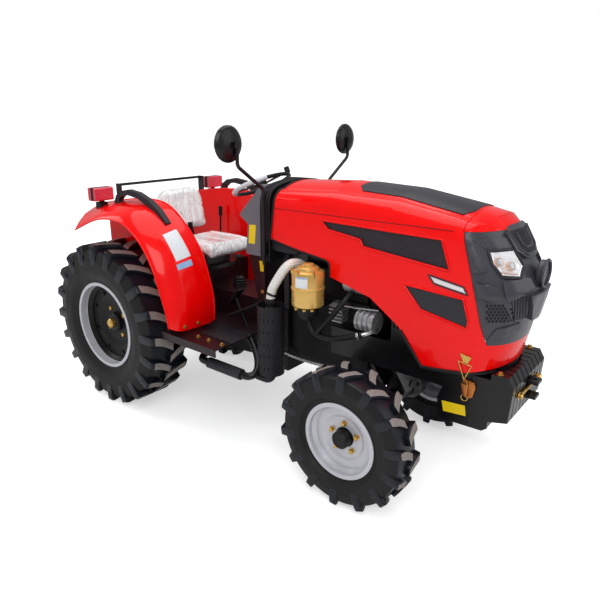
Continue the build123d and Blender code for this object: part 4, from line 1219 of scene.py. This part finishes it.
        def dish(s: float, z: float, lift: float) -> Vector:
            """Place on the reflector, which is hollow behind the lamp's middle."""
            away = min(1.0, sqrt(((s - mid_s) / 0.08) ** 2 + ((z - mid_z) / 0.06) ** 2))
            return skin.wrap(s, z, lift - 0.03 * (1 - away**2))

        mirror = laid_sheet("mirror", self.lamp, dish, -0.008, 0.002, 0.004, 0.008)
        rim = bead("rim", [skin.wrap(mid_s + (s - mid_s) * 0.94, mid_z + (z - mid_z) * 0.92, -0.001)
                           for s, z in spots], 0.007)
        piece = both_sides("headlamp_reflectors", join("mirror", [mirror, rim]))
        fit(piece, LAMP_CHROME, "hood", replaces=("headlamps",))
        eyes, shades = [], []
        for s, z in self.eyes:
            foot, tip = skin.wrap(s, z, -0.035), skin.wrap(s, z, -0.008)
            eyes.append(cylinder("eye", foot, tip, 0.017, 24, 0.004))
            shades.append(cylinder("shade", foot, skin.wrap(s, z, -0.012), 0.022, 24, 0.002))
        shades.append(bead("blade", [skin.wrap(s, z, -0.01) for s, z in ((0.26, 1.36), (0.2, 1.35), (0.16, 1.345))],
                           0.0035, False))
        fit(both_sides("headlamp_projectors", join("eyes", eyes)), BRIGHT_STEEL, "hood")
        fit(both_sides("headlamp_shades", join("shades", shades)), COPPER_PLATING, "hood")
        lens = laid_sheet("lens", self.lamp, skin.wrap, 0.002, 0.003, 0.004, 0.012)
        fit(both_sides("headlamp_lenses", lens), CLEAR_LENS, "hood")

    def mask_panels(self) -> None:
        """Raised panels, crest, keel, louvres and hexagon mesh that layer the mask, with black sheets as painted
        shade in its openings.
        """
        wrap = self.skin.wrap
        sheets = [laid_sheet(name, outline, wrap, lift, thickness, corner)
                  for name, outline, lift, thickness, corner in self.mask_sheets]
        right = both_sides("mask_panels", join("panels", sheets))
        crest = laid_sheet("crest", self.crest, wrap, 0.020, 0.03, 0.01)
        keel = laid_sheet("keel", self.keel, wrap, 0.027, 0.034, 0.010)
        collar = bead("collar", [at(2.81, 0.068 * cos(a), 1.33 + 0.068 * sin(a))
                                 for a in [2 * pi * i / 40 for i in range(40)]], 0.007)
        level = self.crest_level
        chevrons = [bead("chevron", [wrap(s * k, level + (z - level) * k, 0.021) for s, z in
                                     ((0.128, 1.532), (0.112, 1.446), (0.062, 1.412), (-0.062, 1.412),
                                      (-0.112, 1.446), (-0.128, 1.532))], 0.0055, False) for k in (1.0, 0.6)]
        fit(join("mask_panels", [right, keel, crest, collar] + chevrons), MASK_MOULDING, "hood")
        # The louvres, hexagon cells and throat are black sheets laid in the mask's openings as painted shade.
        dark = [laid_sheet("louvre", ((s + 0.006, 1.246), (s - 0.006, 1.246), (s - 0.046, 1.122), (s - 0.037, 1.122)),
                           wrap, 0.0095, 0.004, 0.0, 0.02) for s in (0.16, 0.178, 0.196, 0.214, 0.232)]
        cells = [(0.352 - 0.0185 * i - 0.00925 * (row % 2) - 0.010 * row * 0.4, 1.205 - 0.0162 * row)
                 for row in range(6) for i in range(7)]
        for s, z in cells:
            if 0.218 + (1.205 - z) * -0.2 < s + (1.205 - z) * 0.35 < 0.36 and 0.262 - (1.205 - z) * 0.72 < s:
                dark.append(cylinder("cell", wrap(s, z, 0.002), wrap(s, z, 0.0068), 0.0086, 6))
        dark = both_sides("mask_openings_painted_shade", join("openings", dark))
        throat = [laid_sheet("throat", tuple((s * k, level + (z - level) * k) for s, z in
                                             ((0.12, 1.528), (0.104, 1.45), (0.058, 1.42), (-0.058, 1.42),
                                              (-0.104, 1.45), (-0.12, 1.528))), wrap, lift, 0.003, 0.006)
                  for k, lift in ((1.0, 0.0212), (0.55, 0.0222))]
        dark = join("mask_openings_painted_shade", [dark] + throat)
        fit(dark, BLACK_RUBBER, "hood")

    def trims(self) -> None:
        """Rubber trims on the hood's rear edge, over the engine bay and under the lower band."""
        skin = self.skin
        low = [skin.flank(x, z, 0.0) for x, z in
               ((1.272, 1.349), (1.40, 1.322), (1.513, 1.3035), (1.62, 1.290), (1.70, 1.2785), (1.718, 1.27),
                (1.7255, 1.25), (1.7275, 1.19))]
        rise = [skin.flank(1.272 + (z - 1.349) * 0.13, z, 0.0) for z in (1.42, 1.48, 1.54)]
        arc = [at(1.299, -0.299 + 0.1 * (1 - cos(a)), 1.55 + 0.1 * sin(a)) for a in
               [pi / 2 * i / 8 for i in range(9)]]
        crown = [at(1.299, y, 1.69 - 0.04 * (y / 0.199) ** 2) for y in (-0.15, -0.1, -0.05, -0.001)]
        trim = bead("trim", low[::-1] + rise + arc + crown, 0.0075, False)
        band = [skin.flank(x, z, 0.004) for x, z in ((2.2, 0.975), (2.26, 0.90), (2.335, 0.803), (2.40, 0.808),
                                                     (2.48, 0.817), (2.53, 0.825))]
        nose = [skin.front(y, 0.822 + (0.30 - abs(y)) * 0.03 + 0.006, 0.004) for y in
                [-0.29 + 0.0289 * i for i in range(11)]]
        lower = bead("lower", band + nose, 0.009, False)
        fit(both_sides("hood_rubber_trims", join("trims", [trim, lower])), BLACK_RUBBER, "hood")


@dataclass
class Fenders:
    """Rear fenders: one curved sheet with a rolled lip on each side, the wall by the operator, and plates."""

    inner: tuple = ((0.838, 0.735), (0.842, 0.89), (0.802, 1.06), (0.734, 1.221), (0.61, 1.365), (0.46, 1.478),
                    (0.3, 1.516), (0.05, 1.505), (-0.3, 1.45))
    outer: tuple = ((0.812, 0.735), (0.79, 0.86), (0.734, 1.018), (0.68, 1.15), (0.585, 1.29), (0.449, 1.395),
                    (0.3, 1.445), (0.052, 1.425), (-0.24, 1.32))
    share: tuple = ((0.0, 0.0), (0.3, 0.10), (0.65, 0.45), (0.9, 0.87), (1.0, 1.0))
    drop: tuple = ((0.0, 0.002), (0.08, 0.0), (0.65, 0.0), (0.82, 0.003), (0.9, 0.009), (0.96, 0.017), (1.0, 0.03))
    inside: float = 0.395
    outside: float = 0.735
    outer_rounding: float = 0.045
    inner_rounding: float = 0.02
    stations: int = 60

    def place(self, run: float, across: float, lift: float = 0.0) -> Vector:
        """Place on the right fender's skin.

        Args:
            run: share of the way round the arch, from its front foot.
            across: share of the way from the operator's side to the outer lip.
            lift: how far off the skin.

        Returns:
            The place.
        """
        corner = (self.outer_rounding * max(0.0, (across - 0.7) / 0.3) ** 2
                  + self.inner_rounding * max(0.0, (0.1 - across) / 0.1) ** 2)
        spot = run + (1 - run) * corner * max(0.0, 1 - run * 4)
        mix = between(self.share, across)

        def line(s: float) -> Vector:
            """Place in side view, between the inner and the outer line."""
            a, b = along(self.inner, s), along(self.outer, s)
            return a + (b - a) * mix

        tangent = line(min(spot + 0.01, 1.0)) - line(max(spot - 0.01, 0.0))
        normal = Vector((tangent.y, -tangent.x)).normalized()
        flat = line(spot) + normal * (lift - between(self.drop, across))
        return at(flat.x, -self.inside - across * (self.outside - self.inside), flat.y)

    def sheet(self, name: str, span: tuple, wide: tuple, cuts: tuple, lift: float, thickness: float) -> Obj:
        """Bends a grid into a sheet over a part of the skin.

        Args:
            name: the new object's name.
            span: its ends, as shares of the way round.
            wide: its edges, as shares of the way across.
            cuts: how many faces round and across.
            lift: how far its face stands off the skin.
            thickness: its thickness, inwards from its face.

        Returns:
            The sheet, with rounded edges.
        """
        bpy.ops.mesh.primitive_grid_add(x_subdivisions=cuts[0], y_subdivisions=cuts[1], size=1)
        obj = bpy.context.object
        obj.name = name
        for vertex in obj.data.vertices:
            run = span[0] + (span[1] - span[0]) * (vertex.co.x + 0.5)
            across = wide[0] + (wide[1] - wide[0]) * (vertex.co.y + 0.5)
            vertex.co = self.place(run, across, lift)
        obj.data.update()
        face = obj.data.polygons[len(obj.data.polygons) // 2]
        out = self.place(sum(span) / 2, sum(wide) / 2, 0.01) - self.place(sum(span) / 2, sum(wide) / 2, 0.0)
        if face.normal.dot(out) < 0:
            obj.data.flip_normals()
        thicken(obj, thickness)
        return bevel(obj, min(0.0015, thickness * 0.35))

    def build(self) -> None:
        """Builds both fenders, with plates and screws."""
        sheet = self.sheet("sheet", (0.0, 1.0), (0.0, 1.0), (64, 20), 0.0, 0.005)
        runs = [i / self.stations for i in range(self.stations + 1)]
        lip = bead("lip", [self.place(run, 1.0, -0.001) for run in runs], 0.006, False)
        rim = bead("rim", [self.place(run, 0.0, 0.001) for run in runs], 0.005, False)
        line = tuple((p.x - REAR_AXLE_X, p.z) for p in [self.place(i / 40, 0.0, -0.004) for i in range(41)])
        wall = plate("wall", line + ((-0.3, 1.0), (0.3, 0.76), (0.7, 0.735)), -self.inside - 0.005, -self.inside)
        piece = both_sides("fender_sheets", join("fender", [sheet, lip, rim, wall]))
        fit(piece, RED_ENAMEL, "chassis", replaces=("fenders",))
        white = self.sheet("white", (0.36, 0.5), (0.28, 0.6), (6, 6), 0.0012, 0.001)
        dress(white, WHITE_LABEL)
        small = self.sheet("small", (0.315, 0.345), (0.3, 0.62), (4, 6), 0.0012, 0.001)
        dress(small, BLUE_LABEL)
        seat_piece(join("fender_plates", [white, small]), "chassis")
        heads = []
        for across in (0.42, 0.72):
            foot = self.place(0.035, across, 0.0)
            heads.append(hex_bolt(foot, (self.place(0.035, across, 0.01) - foot).normalized(), 0.017, 0.007))
        fit(both_sides("fender_screws", join("screws", heads)), GOLD_PLATING, "chassis")


@dataclass
class Pad:
    """Foam pad: a block that is shaped, filled out by a cloth simulation and channelled."""

    name: str
    low: Vector
    high: Vector
    lean_deg: float = 0.0
    channels: tuple = ()
    cap: float = 0.014
    inset: float = 0.006
    rounding: float = 0.03
    voxel: float = 0.006
    pressure: float = 4.0
    frames: int = 14
    channel_size: float = 0.009
    bolster: float = 0.016
    dish: float = 0.012

    def shaped(self) -> Obj:
        """The pad before it swells."""
        inset = Vector((self.inset, self.inset, self.inset))
        obj = block(self.name, self.low + inset, self.high - inset)
        with editing(obj):
            bpy.ops.mesh.bevel(offset=self.rounding, segments=4)
        skin = obj.modifiers.new("skin", "REMESH")
        skin.mode, skin.voxel_size = "VOXEL", self.voxel
        apply_modifiers(obj)
        return obj

    def swell(self, obj: Obj) -> None:
        """Fills the pad out with pressure, keeping every point near its place.

        Args:
            obj: the shaped pad.
        """
        start = [v.co.copy() for v in obj.data.vertices]
        activate(obj)
        cloth = obj.modifiers.new("filling", "CLOTH")
        cloth.settings.use_pressure, cloth.settings.uniform_pressure_force = True, self.pressure
        cloth.settings.effector_weights.gravity = 0.0
        cloth.settings.quality = 4
        for frame in range(1, self.frames + 1):
            bpy.context.scene.frame_set(frame)
        apply_modifiers(obj)
        for vertex, before in zip(obj.data.vertices, start):
            move = vertex.co - before
            if move.length > self.cap:
                vertex.co = before + move * (self.cap / move.length)
        bpy.context.scene.frame_set(1)

    def build(self) -> Obj:
        """The finished pad."""
        obj = self.shaped()
        self.swell(obj)
        middle, size = (self.low + self.high) / 2, self.high - self.low
        for vertex in obj.data.vertices:
            self.channel(vertex, middle, size)
        foot = Vector((self.low.x, 0, self.low.z))
        obj.data.transform(Matrix.Translation(foot) @ Matrix.Rotation(radians(self.lean_deg), 4, "Y")
                           @ Matrix.Translation(-foot))
        finer = obj.modifiers.new("finer", "SUBSURF")
        finer.levels = finer.render_levels = 1
        apply_modifiers(obj)
        activate(obj)
        bpy.ops.object.shade_smooth()
        return obj

    def channel(self, vertex: bpy.types.MeshVertex, middle: Vector, size: Vector) -> None:
        """Presses the sewn channels into the face and rounds the pad's outline.

        Args:
            vertex: the vertex to move.
            middle: the pad's middle.
            size: the pad's size.
        """
        co = vertex.co
        upright = size.z > size.x
        face = (co.x - middle.x) / (size.x / 2) if upright else (co.z - middle.z) / (size.z / 2)
        reach = (co.z - middle.z) / (size.z / 2) if upright else (co.x - middle.x) / (size.x / 2)
        side = (co.y - middle.y) / (size.y / 2)
        if face > 0.2:
            deep = self.channel_size
            press = sum(deep * exp(-((co.y - line) / deep) ** 2) for line in self.channels)
            bolster = self.bolster * max(0.0, abs(side) - 0.62) / 0.38 * (1.0 if abs(side) < 0.93 else 0.4)
            move = bolster - press * max(0.0, 1 - reach * reach)
            if upright:
                co.x += move
            else:
                co.z += move * 0.6 - self.dish * max(0.0, 1 - side * side) * max(0.0, 1 - reach * reach)
        if upright:
            co.y -= (co.y - middle.y) * (0.20 * max(0.0, reach) ** 3 + 0.05 * max(0.0, -reach))
            co.z -= 0.05 * max(0.0, reach) * side**4
        else:
            co.y -= (co.y - middle.y) * (0.06 * max(0.0, -reach))
            co.z -= 0.022 * max(0.0, reach) ** 4


@dataclass
class Seat:
    """Cushion and backrest under loose clear film."""

    def build(self) -> None:
        """Builds both pads on their base."""
        cushion = Pad("seat_cushion_pad", at(0.19, -0.225, 1.1105), at(0.65, 0.225, 1.205),
                      channels=(-0.13, 0.0, 0.13)).build()
        dress(cushion, FILMED_VINYL)
        seat_piece(cushion, "chassis", ("seat_cushion",))
        back = Pad("seat_back_pad", at(0.070, -0.22, 1.212), at(0.155, 0.22, 1.555), lean_deg=-12.0,
                   channels=(-0.13, -0.065, 0.0, 0.065, 0.13)).build()
        dress(back, FILMED_VINYL)
        seat_piece(back, "chassis", ("seat_back",))


@dataclass
class Cockpit:
    """Ribs of the arch, plates on the cowl and console, the wheel's wrap, and what is on the floor."""

    wheel_hub: Vector
    tilt_deg: float = 24.0
    wheel_radius: float = 0.195

    def build(self) -> None:
        """Builds each piece."""
        ribs = []
        for x in (1.196, 1.220, 1.244, 1.262):
            line = [at(x, -0.2985, z) for z in (1.22, 1.4, 1.585)]
            line += [at(x, -0.271, 1.645), at(x, -0.2, 1.669), at(x, -0.1, 1.682), at(x, 0.0, 1.692)]
            ribs.append(tube("rib", line, 0.0075))
        fit(both_sides("arch_ribs", join("ribs", ribs)), BLACK_RUBBER, "chassis")
        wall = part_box("front_frame")[0][1]
        labels = [plate("cowl_plate", ((1.022, 1.399), (1.078, 1.402), (1.066, 1.276), (1.01, 1.275)), -0.2212,
                        -0.2198),
                  plate("console_plate", ((1.075, 1.16), (1.175, 1.16), (1.175, 1.09), (1.085, 1.09)), -0.1912,
                        -0.1898),
                  plate("box_plate", ((2.433, 0.606), (2.562, 0.617), (2.572, 0.559), (2.447, 0.548)),
                        wall - 0.0012, wall + 0.0002)]
        fit(join("yellow_plates", labels[:2]), YELLOW_LABEL, "chassis")
        dress(labels[2], YELLOW_LABEL)
        labels[2].name = labels[2].data.name = "front_plate"
        seat_piece(labels[2], "chassis")
        self.wheel()
        self.floor()

    def wheel(self) -> None:
        """Film wrap round a part of the steering wheel's ring."""
        tilt = radians(self.tilt_deg)
        ring = [self.wheel_hub + self.wheel_radius * Vector((cos(a) * cos(tilt), sin(a), cos(a) * sin(tilt)))
                for a in [radians(-150 + 5 * i) for i in range(24)]]
        fit(bead("wheel_wrap", ring, 0.0155, False, 4), WRAP_FILM, "steering_wheel")

    def floor(self) -> None:
        """Rubber mats, cross rod and bolts."""
        mats = [block("mat", at(0.86, sign * 0.44 - 0.11, 0.7), at(1.16, sign * 0.44 + 0.11, 0.706), 0.002)
                for sign in (-1, 1)]
        fit(join("floor_mats", mats), FLOOR_MAT, "chassis")
        rod = tube("cross_rod", [at(0.91, -0.33, 0.775), at(1.0, -0.32, 0.82), at(1.186, -0.28, 0.917)], 0.011)
        fit(rod, CAST_BLACK, "chassis")
        bolts = [hex_bolt(at(x, y, 0.7), Vector((0, 0, 1)), 0.02, 0.011)
                 for x, y in ((0.9, -0.6), (1.0, -0.6), (1.12, -0.6), (0.9, 0.6), (1.12, 0.6))]
        bolts += [hex_bolt(at(x, -0.1902, z), Vector((0, -1, 0)), 0.018, 0.01)
                  for x, z in ((1.1, 0.95), (1.16, 1.03))]
        fit(join("floor_bolts", bolts), GOLD_PLATING, "chassis")


@dataclass
class EngineBay:
    """Air cleaner, hoses, wrapped exhaust pipe, lines and fittings on the right of the engine."""

    can: Vector
    can_radius: float = 0.095

    def build(self) -> None:
        """Builds each piece."""
        self.cleaner()
        self.hoses()
        self.pipes()

    def cleaner(self) -> None:
        """Banded can with a domed lid, and its blank label with a blue head."""
        r = self.can_radius
        profile = [(0.0, 1.0202), (r - 0.008, 1.0202), (r - 0.002, 1.022), (r, 1.03), (r, 1.117), (r + 0.0035, 1.12),
                   (r + 0.0045, 1.1265), (r + 0.0035, 1.133), (r, 1.136), (r, 1.214), (r - 0.003, 1.224),
                   (r - 0.012, 1.2295), (0.066, 1.2335), (0.062, 1.246), (0.052, 1.252), (0.036, 1.2535),
                   (0.034, 1.265), (0.028, 1.2675), (0.0, 1.268)]
        can = lathe("cleaner_can", profile, self.can, Turn.Z, 64)
        fit(can, GOLD_ENAMEL, "chassis", ("air_canister",))

        def round_can(angle: float, z: float, lift: float) -> Vector:
            """Place on the can's wall."""
            return self.can + Vector(((r + lift) * cos(angle), (r + lift) * sin(angle), z))

        white = laid_sheet("white", ((-1.75, 1.142), (-0.95, 1.142), (-0.95, 1.196), (-1.75, 1.196)), round_can,
                           0.0012, 0.001, 0.0, 0.06)
        dress(white, WHITE_LABEL)
        head = laid_sheet("head", ((-1.75, 1.198), (-0.95, 1.198), (-0.95, 1.207), (-1.75, 1.207)), round_can,
                          0.0012, 0.001, 0.0, 0.06)
        dress(head, BLUE_LABEL)
        seat_piece(join("cleaner_label", [white, head]), "chassis")
        clips = [block("clip", self.can + Vector((x - 0.006, y - 0.006, 1.205)),
                       self.can + Vector((x + 0.006, y + 0.006, 1.24)), 0.002)
                 for x, y in ((0.0, -r + 0.002), (0.078, -0.05), (-0.078, -0.05))]
        feet = [hex_bolt(self.can + Vector((x, y, 1.018)), Vector((0, 0, -1)), 0.018, 0.012)
                for x, y in ((-0.02, -0.083), (0.035, -0.078), (0.07, -0.05))]
        fit(join("cleaner_clips", clips + feet), GOLD_PLATING, "chassis")

    def hoses(self) -> None:
        """Two coolant hoses and their bright ends."""
        runs = [tube("hose", [at(*p) for p in ((1.64, -0.382, 0.935), (1.645, -0.384, 0.88), (1.70, -0.387, 0.845),
                                               (1.80, -0.387, 0.845), (1.90, -0.375, 0.875), (1.985, -0.345, 0.905))],
                     0.0175),
                tube("branch", [at(*p) for p in ((1.70, -0.387, 0.856), (1.735, -0.392, 0.90), (1.785, -0.385, 0.96),
                                                 (1.84, -0.35, 1.05), (1.86, -0.30, 1.10), (1.862, -0.262, 1.112))],
                     0.0165)]
        fit(join("coolant_hoses", runs), BLACK_RUBBER, "chassis", ("hoses",))
        ends = [tube("end", [at(1.98, -0.347, 0.903), at(2.02, -0.32, 0.915), at(2.03, -0.26, 0.925)], 0.0125),
                cylinder("clip", at(1.955, -0.357, 0.894), at(1.967, -0.352, 0.899), 0.021, 24, 0.002)]
        lines = [tube("line", [at(1.30, -0.235 + 0.02 * i, 0.585 - 0.016 * i), at(1.54, -0.235 + 0.02 * i,
                                                                                 0.565 - 0.016 * i),
                               at(1.78, -0.225 + 0.02 * i, 0.60 - 0.016 * i)], 0.0045) for i in range(3)]
        bar = tube("bar", [at(1.78, -0.27, 1.02), at(1.9, -0.285, 1.028), at(2.04, -0.27, 1.04)], 0.006)
        fit(join("bright_lines", ends + lines + [bar]), BRIGHT_STEEL, "chassis")

    def pipes(self) -> None:
        """Wrapped pipe from the shield's top to the head."""
        path = [at(1.4, -0.45, 1.0), at(1.4, -0.45, 1.06), at(1.43, -0.435, 1.13), at(1.485, -0.40, 1.235),
                at(1.505, -0.33, 1.245), at(1.5, -0.21, 1.18), at(1.5, -0.14, 1.165)]
        wrap = tube("wrapped_pipe", path, 0.0285)
        fit(wrap, HEAT_WRAP, "chassis", ("exhaust_pipe",))
        collar = [cylinder("collar", at(1.4, -0.45, 0.99), at(1.4, -0.45, 1.03), 0.034, 32, 0.003),
                  cylinder("clamp", at(1.404, -0.448, 1.052), at(1.408, -0.446, 1.064), 0.0335, 32, 0.002)]
        fit(join("pipe_collar", collar), HEAT_BLACK, "chassis")


@dataclass
class BoardingSteps:
    """Bent tubes under the platform, each with a textured grip sleeve."""

    out: float = 0.56
    level: float = 0.52

    def build(self) -> None:
        """Builds both steps."""
        y, z = -self.out, self.level
        path = [at(0.93, y + 0.19, 0.69), at(0.89, y + 0.17, 0.62), at(0.845, y + 0.06, 0.535), at(0.87, y, z),
                at(0.94, y, z), at(1.08, y, z), at(1.24, y, z), at(1.31, y, z), at(1.335, y + 0.06, 0.54),
                at(1.24, y + 0.16, 0.62), at(1.13, y + 0.2, 0.69)]
        bar = tube("bar", path, 0.024)
        dress(bar, BLACK_ENAMEL)
        sleeve = lathe("sleeve", [(0.024, 0.0), (0.034, 0.0), (0.036, 0.003), (0.036, 0.297), (0.034, 0.30),
                                  (0.024, 0.30)], at(0.95, y, z), Turn.X, 32)
        dress(sleeve, STEP_GRIP)
        feet = [block("foot", at(x - 0.03, y + 0.16, 0.672), at(x + 0.03, y + 0.23, 0.6915), 0.003)
                for x in (0.93, 1.12)]
        for foot in feet:
            dress(foot, BLACK_ENAMEL)
        piece = both_sides("boarding_steps", join("step", [bar, sleeve] + feet))
        seat_piece(piece, "chassis", ("steps",))


@dataclass
class FrontEnd:
    """Toggle latches on the front box, and the plated bar and bolts on the weights."""

    skirt: float = -0.3085

    def build(self) -> None:
        """Builds the latches and the fasteners."""
        wall = -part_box("front_frame")[0][1]
        top, base = self.skirt, -(wall + 0.001)
        keeper = plate("keeper", ((2.538, 0.935), (2.598, 0.925), (2.578, 0.882), (2.563, 0.884)), top - 0.003, top)
        bail = bead("bail", [at(x, top - 0.006, z) for x, z in closed_loop(
            ((2.535, 0.893), (2.603, 0.882), (2.572, 0.80)), 0.02)], 0.0035)
        ring = bead("ring", [at(2.558 + 0.017 * cos(a), base - 0.012, 0.668 + 0.017 * sin(a))
                             for a in [2 * pi * i / 24 for i in range(24)]], 0.0033)
        stem = tube("stem", [at(2.572, top - 0.006, 0.805), at(2.572, base - 0.02, 0.78),
                             at(2.57, base - 0.02, 0.73)], 0.0035)
        gold = both_sides("latch_wires", join("wires", [keeper, bail, ring, stem]))
        fit(gold, GOLD_PLATING, "chassis")
        lever = plate("lever", ((2.545, 0.775), (2.605, 0.765), (2.612, 0.735), (2.60, 0.68), (2.575, 0.665),
                                (2.545, 0.70), (2.535, 0.745)), base - 0.012, base)
        hump = plate("hump", ((2.535, 0.75), (2.575, 0.745), (2.573, 0.675), (2.55, 0.682)), base - 0.022,
                     base - 0.011)
        copper = both_sides("latch_levers", bevel(join("lever", [lever, hump]), 0.003))
        fit(copper, COPPER_PLATING, "chassis", replaces=("latches",))
        bar = [cylinder("bar", at(2.806, -0.15, 0.72), at(2.806, 0.15, 0.72), 0.0085, 16, 0.001)]
        bar += [hex_bolt(at(2.8, y, 0.72), Vector((1, 0, 0)), 0.026, 0.018) for y in (-0.15, 0.15)]
        bar += [hex_bolt(at(x, y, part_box("front_weights")[1][2]), Vector((0, 0, 1)), 0.022, 0.012)
                for x, y in ((2.72, -0.228), (2.72, 0.228))]
        fit(join("weight_fasteners", bar), GOLD_PLATING, "chassis")


@dataclass
class Stage:
    """Pale floor, soft studio light and the camera."""

    camera_place: Vector
    yaw_deg: float = 39.42
    pitch_deg: float = -17.57
    roll_deg: float = 0.05
    focal_px: float = 560.0
    centre_px: tuple = (289.6, 297.3)
    frame_px: float = 600.0

    def build(self) -> None:
        """Makes the camera, floor, lights and world."""
        camera = bpy.data.cameras.new("camera")
        camera.sensor_width = 36.0
        camera.lens = 36.0 * self.focal_px / self.frame_px
        camera.shift_x = (self.frame_px / 2 - self.centre_px[0]) / self.frame_px
        camera.shift_y = -(self.frame_px / 2 - self.centre_px[1]) / self.frame_px
        camera.clip_start, camera.clip_end = 0.05, 100
        eye = bpy.data.objects.new("camera", camera)
        eye.location = self.camera_place
        eye.rotation_euler = (radians(90 + self.pitch_deg), radians(self.roll_deg), radians(self.yaw_deg))
        bpy.context.scene.collection.objects.link(eye)
        bpy.context.scene.camera = eye
        self.floor()
        self.lights()
        self.world()
        bpy.context.scene.view_settings.view_transform = "Standard"

    def floor(self) -> None:
        """A large pale floor."""
        bpy.ops.mesh.primitive_plane_add(size=60, location=(0, 0, -0.0005))
        floor = settle(bpy.context.object, "studio_floor")
        material = bpy.data.materials.new("seamless_paper")
        material.use_nodes = True
        material.node_tree.nodes.clear()
        place = add_node(material, "TexCoord").outputs["Object"]
        fibre = add_node(material, "TexNoise", {"Vector": place, "Scale": 400.0})
        bump = add_node(material, "Bump", {"Height": fibre.outputs[0], "Strength": 0.2, "Distance": 0.0002})
        paper = add_node(material, "BsdfPrincipled", {"Base Color": colour("F7F7F7"), "Roughness": 0.9,
                                                      "Normal": bump.outputs[0]})
        away = add_node(material, "VectorMath", {0: place}, operation="LENGTH")
        far = add_node(material, "MapRange", {0: away.outputs[1], 1: 1.2, 2: 4.5, 3: 0.5, 4: 1.0})
        seen = add_node(material, "LightPath")
        power = add_node(material, "Math", {0: far.outputs[0], 1: seen.outputs["Is Camera Ray"]},
                         operation="MULTIPLY")
        white = add_node(material, "Emission", {"Color": (1, 1, 1, 1), "Strength": power.outputs[0]})
        both = add_node(material, "AddShader", {0: paper.outputs[0], 1: white.outputs[0]})
        add_node(material, "OutputMaterial", {"Surface": both.outputs[0]})
        floor.data.materials.append(material)

    def lights(self) -> None:
        """Large soft boxes above, in front and to the side."""
        for name, place, size, power in (("key", (3.5, -4.5, 5.5), 4.0, 200), ("fill", (5.5, 2.0, 3.5), 4.0, 60),
                                         ("top", (-0.5, 0.5, 6.0), 5.0, 150), ("rim", (-5.0, -2.5, 4.0), 3.0, 70)):
            light = bpy.data.lights.new(name, "AREA")
            light.energy, light.size = power, size
            lamp = bpy.data.objects.new(name, light)
            lamp.location = place
            lamp.rotation_mode = "QUATERNION"
            lamp.rotation_quaternion = (Vector((0, 0, 0.8)) - Vector(place)).to_track_quat("-Z", "Y")
            bpy.context.scene.collection.objects.link(lamp)

    def world(self) -> None:
        """White to the camera and through transmitting surfaces, softer as a light and in reflections."""
        world = bpy.data.worlds.new("studio")
        world.use_nodes = True
        world.node_tree.nodes.clear()
        rays = add_node(world, "LightPath")
        seen = add_node(world, "Math", {0: rays.outputs["Is Camera Ray"], 1: rays.outputs["Is Transmission Ray"]},
                        operation="MAXIMUM")
        soft = add_node(world, "Background", {0: (0.95, 0.97, 1.0, 1), 1: 0.4})
        bright = add_node(world, "Background", {0: (1, 1, 1, 1), 1: 1.0})
        mix = add_node(world, "MixShader", {0: seen.outputs[0], 1: soft.outputs[0], 2: bright.outputs[0]})
        add_node(world, "OutputWorld", {0: mix.outputs[0]})
        bpy.context.scene.world = world


def dress_nodes(nodes: dict) -> None:
    """Gives every CAD node the finish that its name asks for.

    Args:
        nodes: the CAD nodes by name.
    """
    for name, node in nodes.items():
        dress(node, finish_of(name))
        LOG.info("%s: %s", name, finish_of(name).name)


def smoothed_bodies() -> dict:
    """Curved CAD nodes that are shown as smooth copies, with the body of each."""
    bodies = {node: "chassis" for node in (
        "canister_bowl", "engine_fittings", "exhaust_can", "mirrors", "mirror_glass", "grab_rails", "transmission",
        "front_axle", "rubber_arch", "dash_cowl", "fender_lenses", "levers", "seat_base")}
    bodies |= {"steering_wheel": "steering_wheel", "marker_lamps": "hood", "tie_rod": "tie_rod",
               "lift_arms": "lift_arms"}
    for side, _ in SIDES:
        bodies |= {f"rear_rim_{side}": f"rear_wheel_{side}", f"rear_disc_{side}": f"rear_wheel_{side}",
                   f"front_rim_{side}": f"front_wheel_{side}", f"front_hub_{side}": f"front_wheel_{side}",
                   f"knuckle_{side}": f"knuckle_{side}", f"lower_link_{side}": f"lower_link_{side}"}
    return bodies


def main() -> None:
    """Builds the looks of the whole machine."""
    logging.basicConfig(level=logging.INFO)
    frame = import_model()
    Stage(at(3.523, -2.851, 2.048)).build()
    dress_nodes(frame["nodes"])
    Wheels().build()
    smooth = SmoothedNodes(frame["nodes"])
    Hood(HoodSkin(), smooth).build()
    Fenders().build()
    Seat().build()
    Cockpit(at(0.935, 0, 1.632)).build()
    EngineBay(at(1.63, -0.382, 0)).build()
    BoardingSteps().build()
    FrontEnd().build()
    smooth.build(smoothed_bodies())


if __name__ == "__main__":
    main()
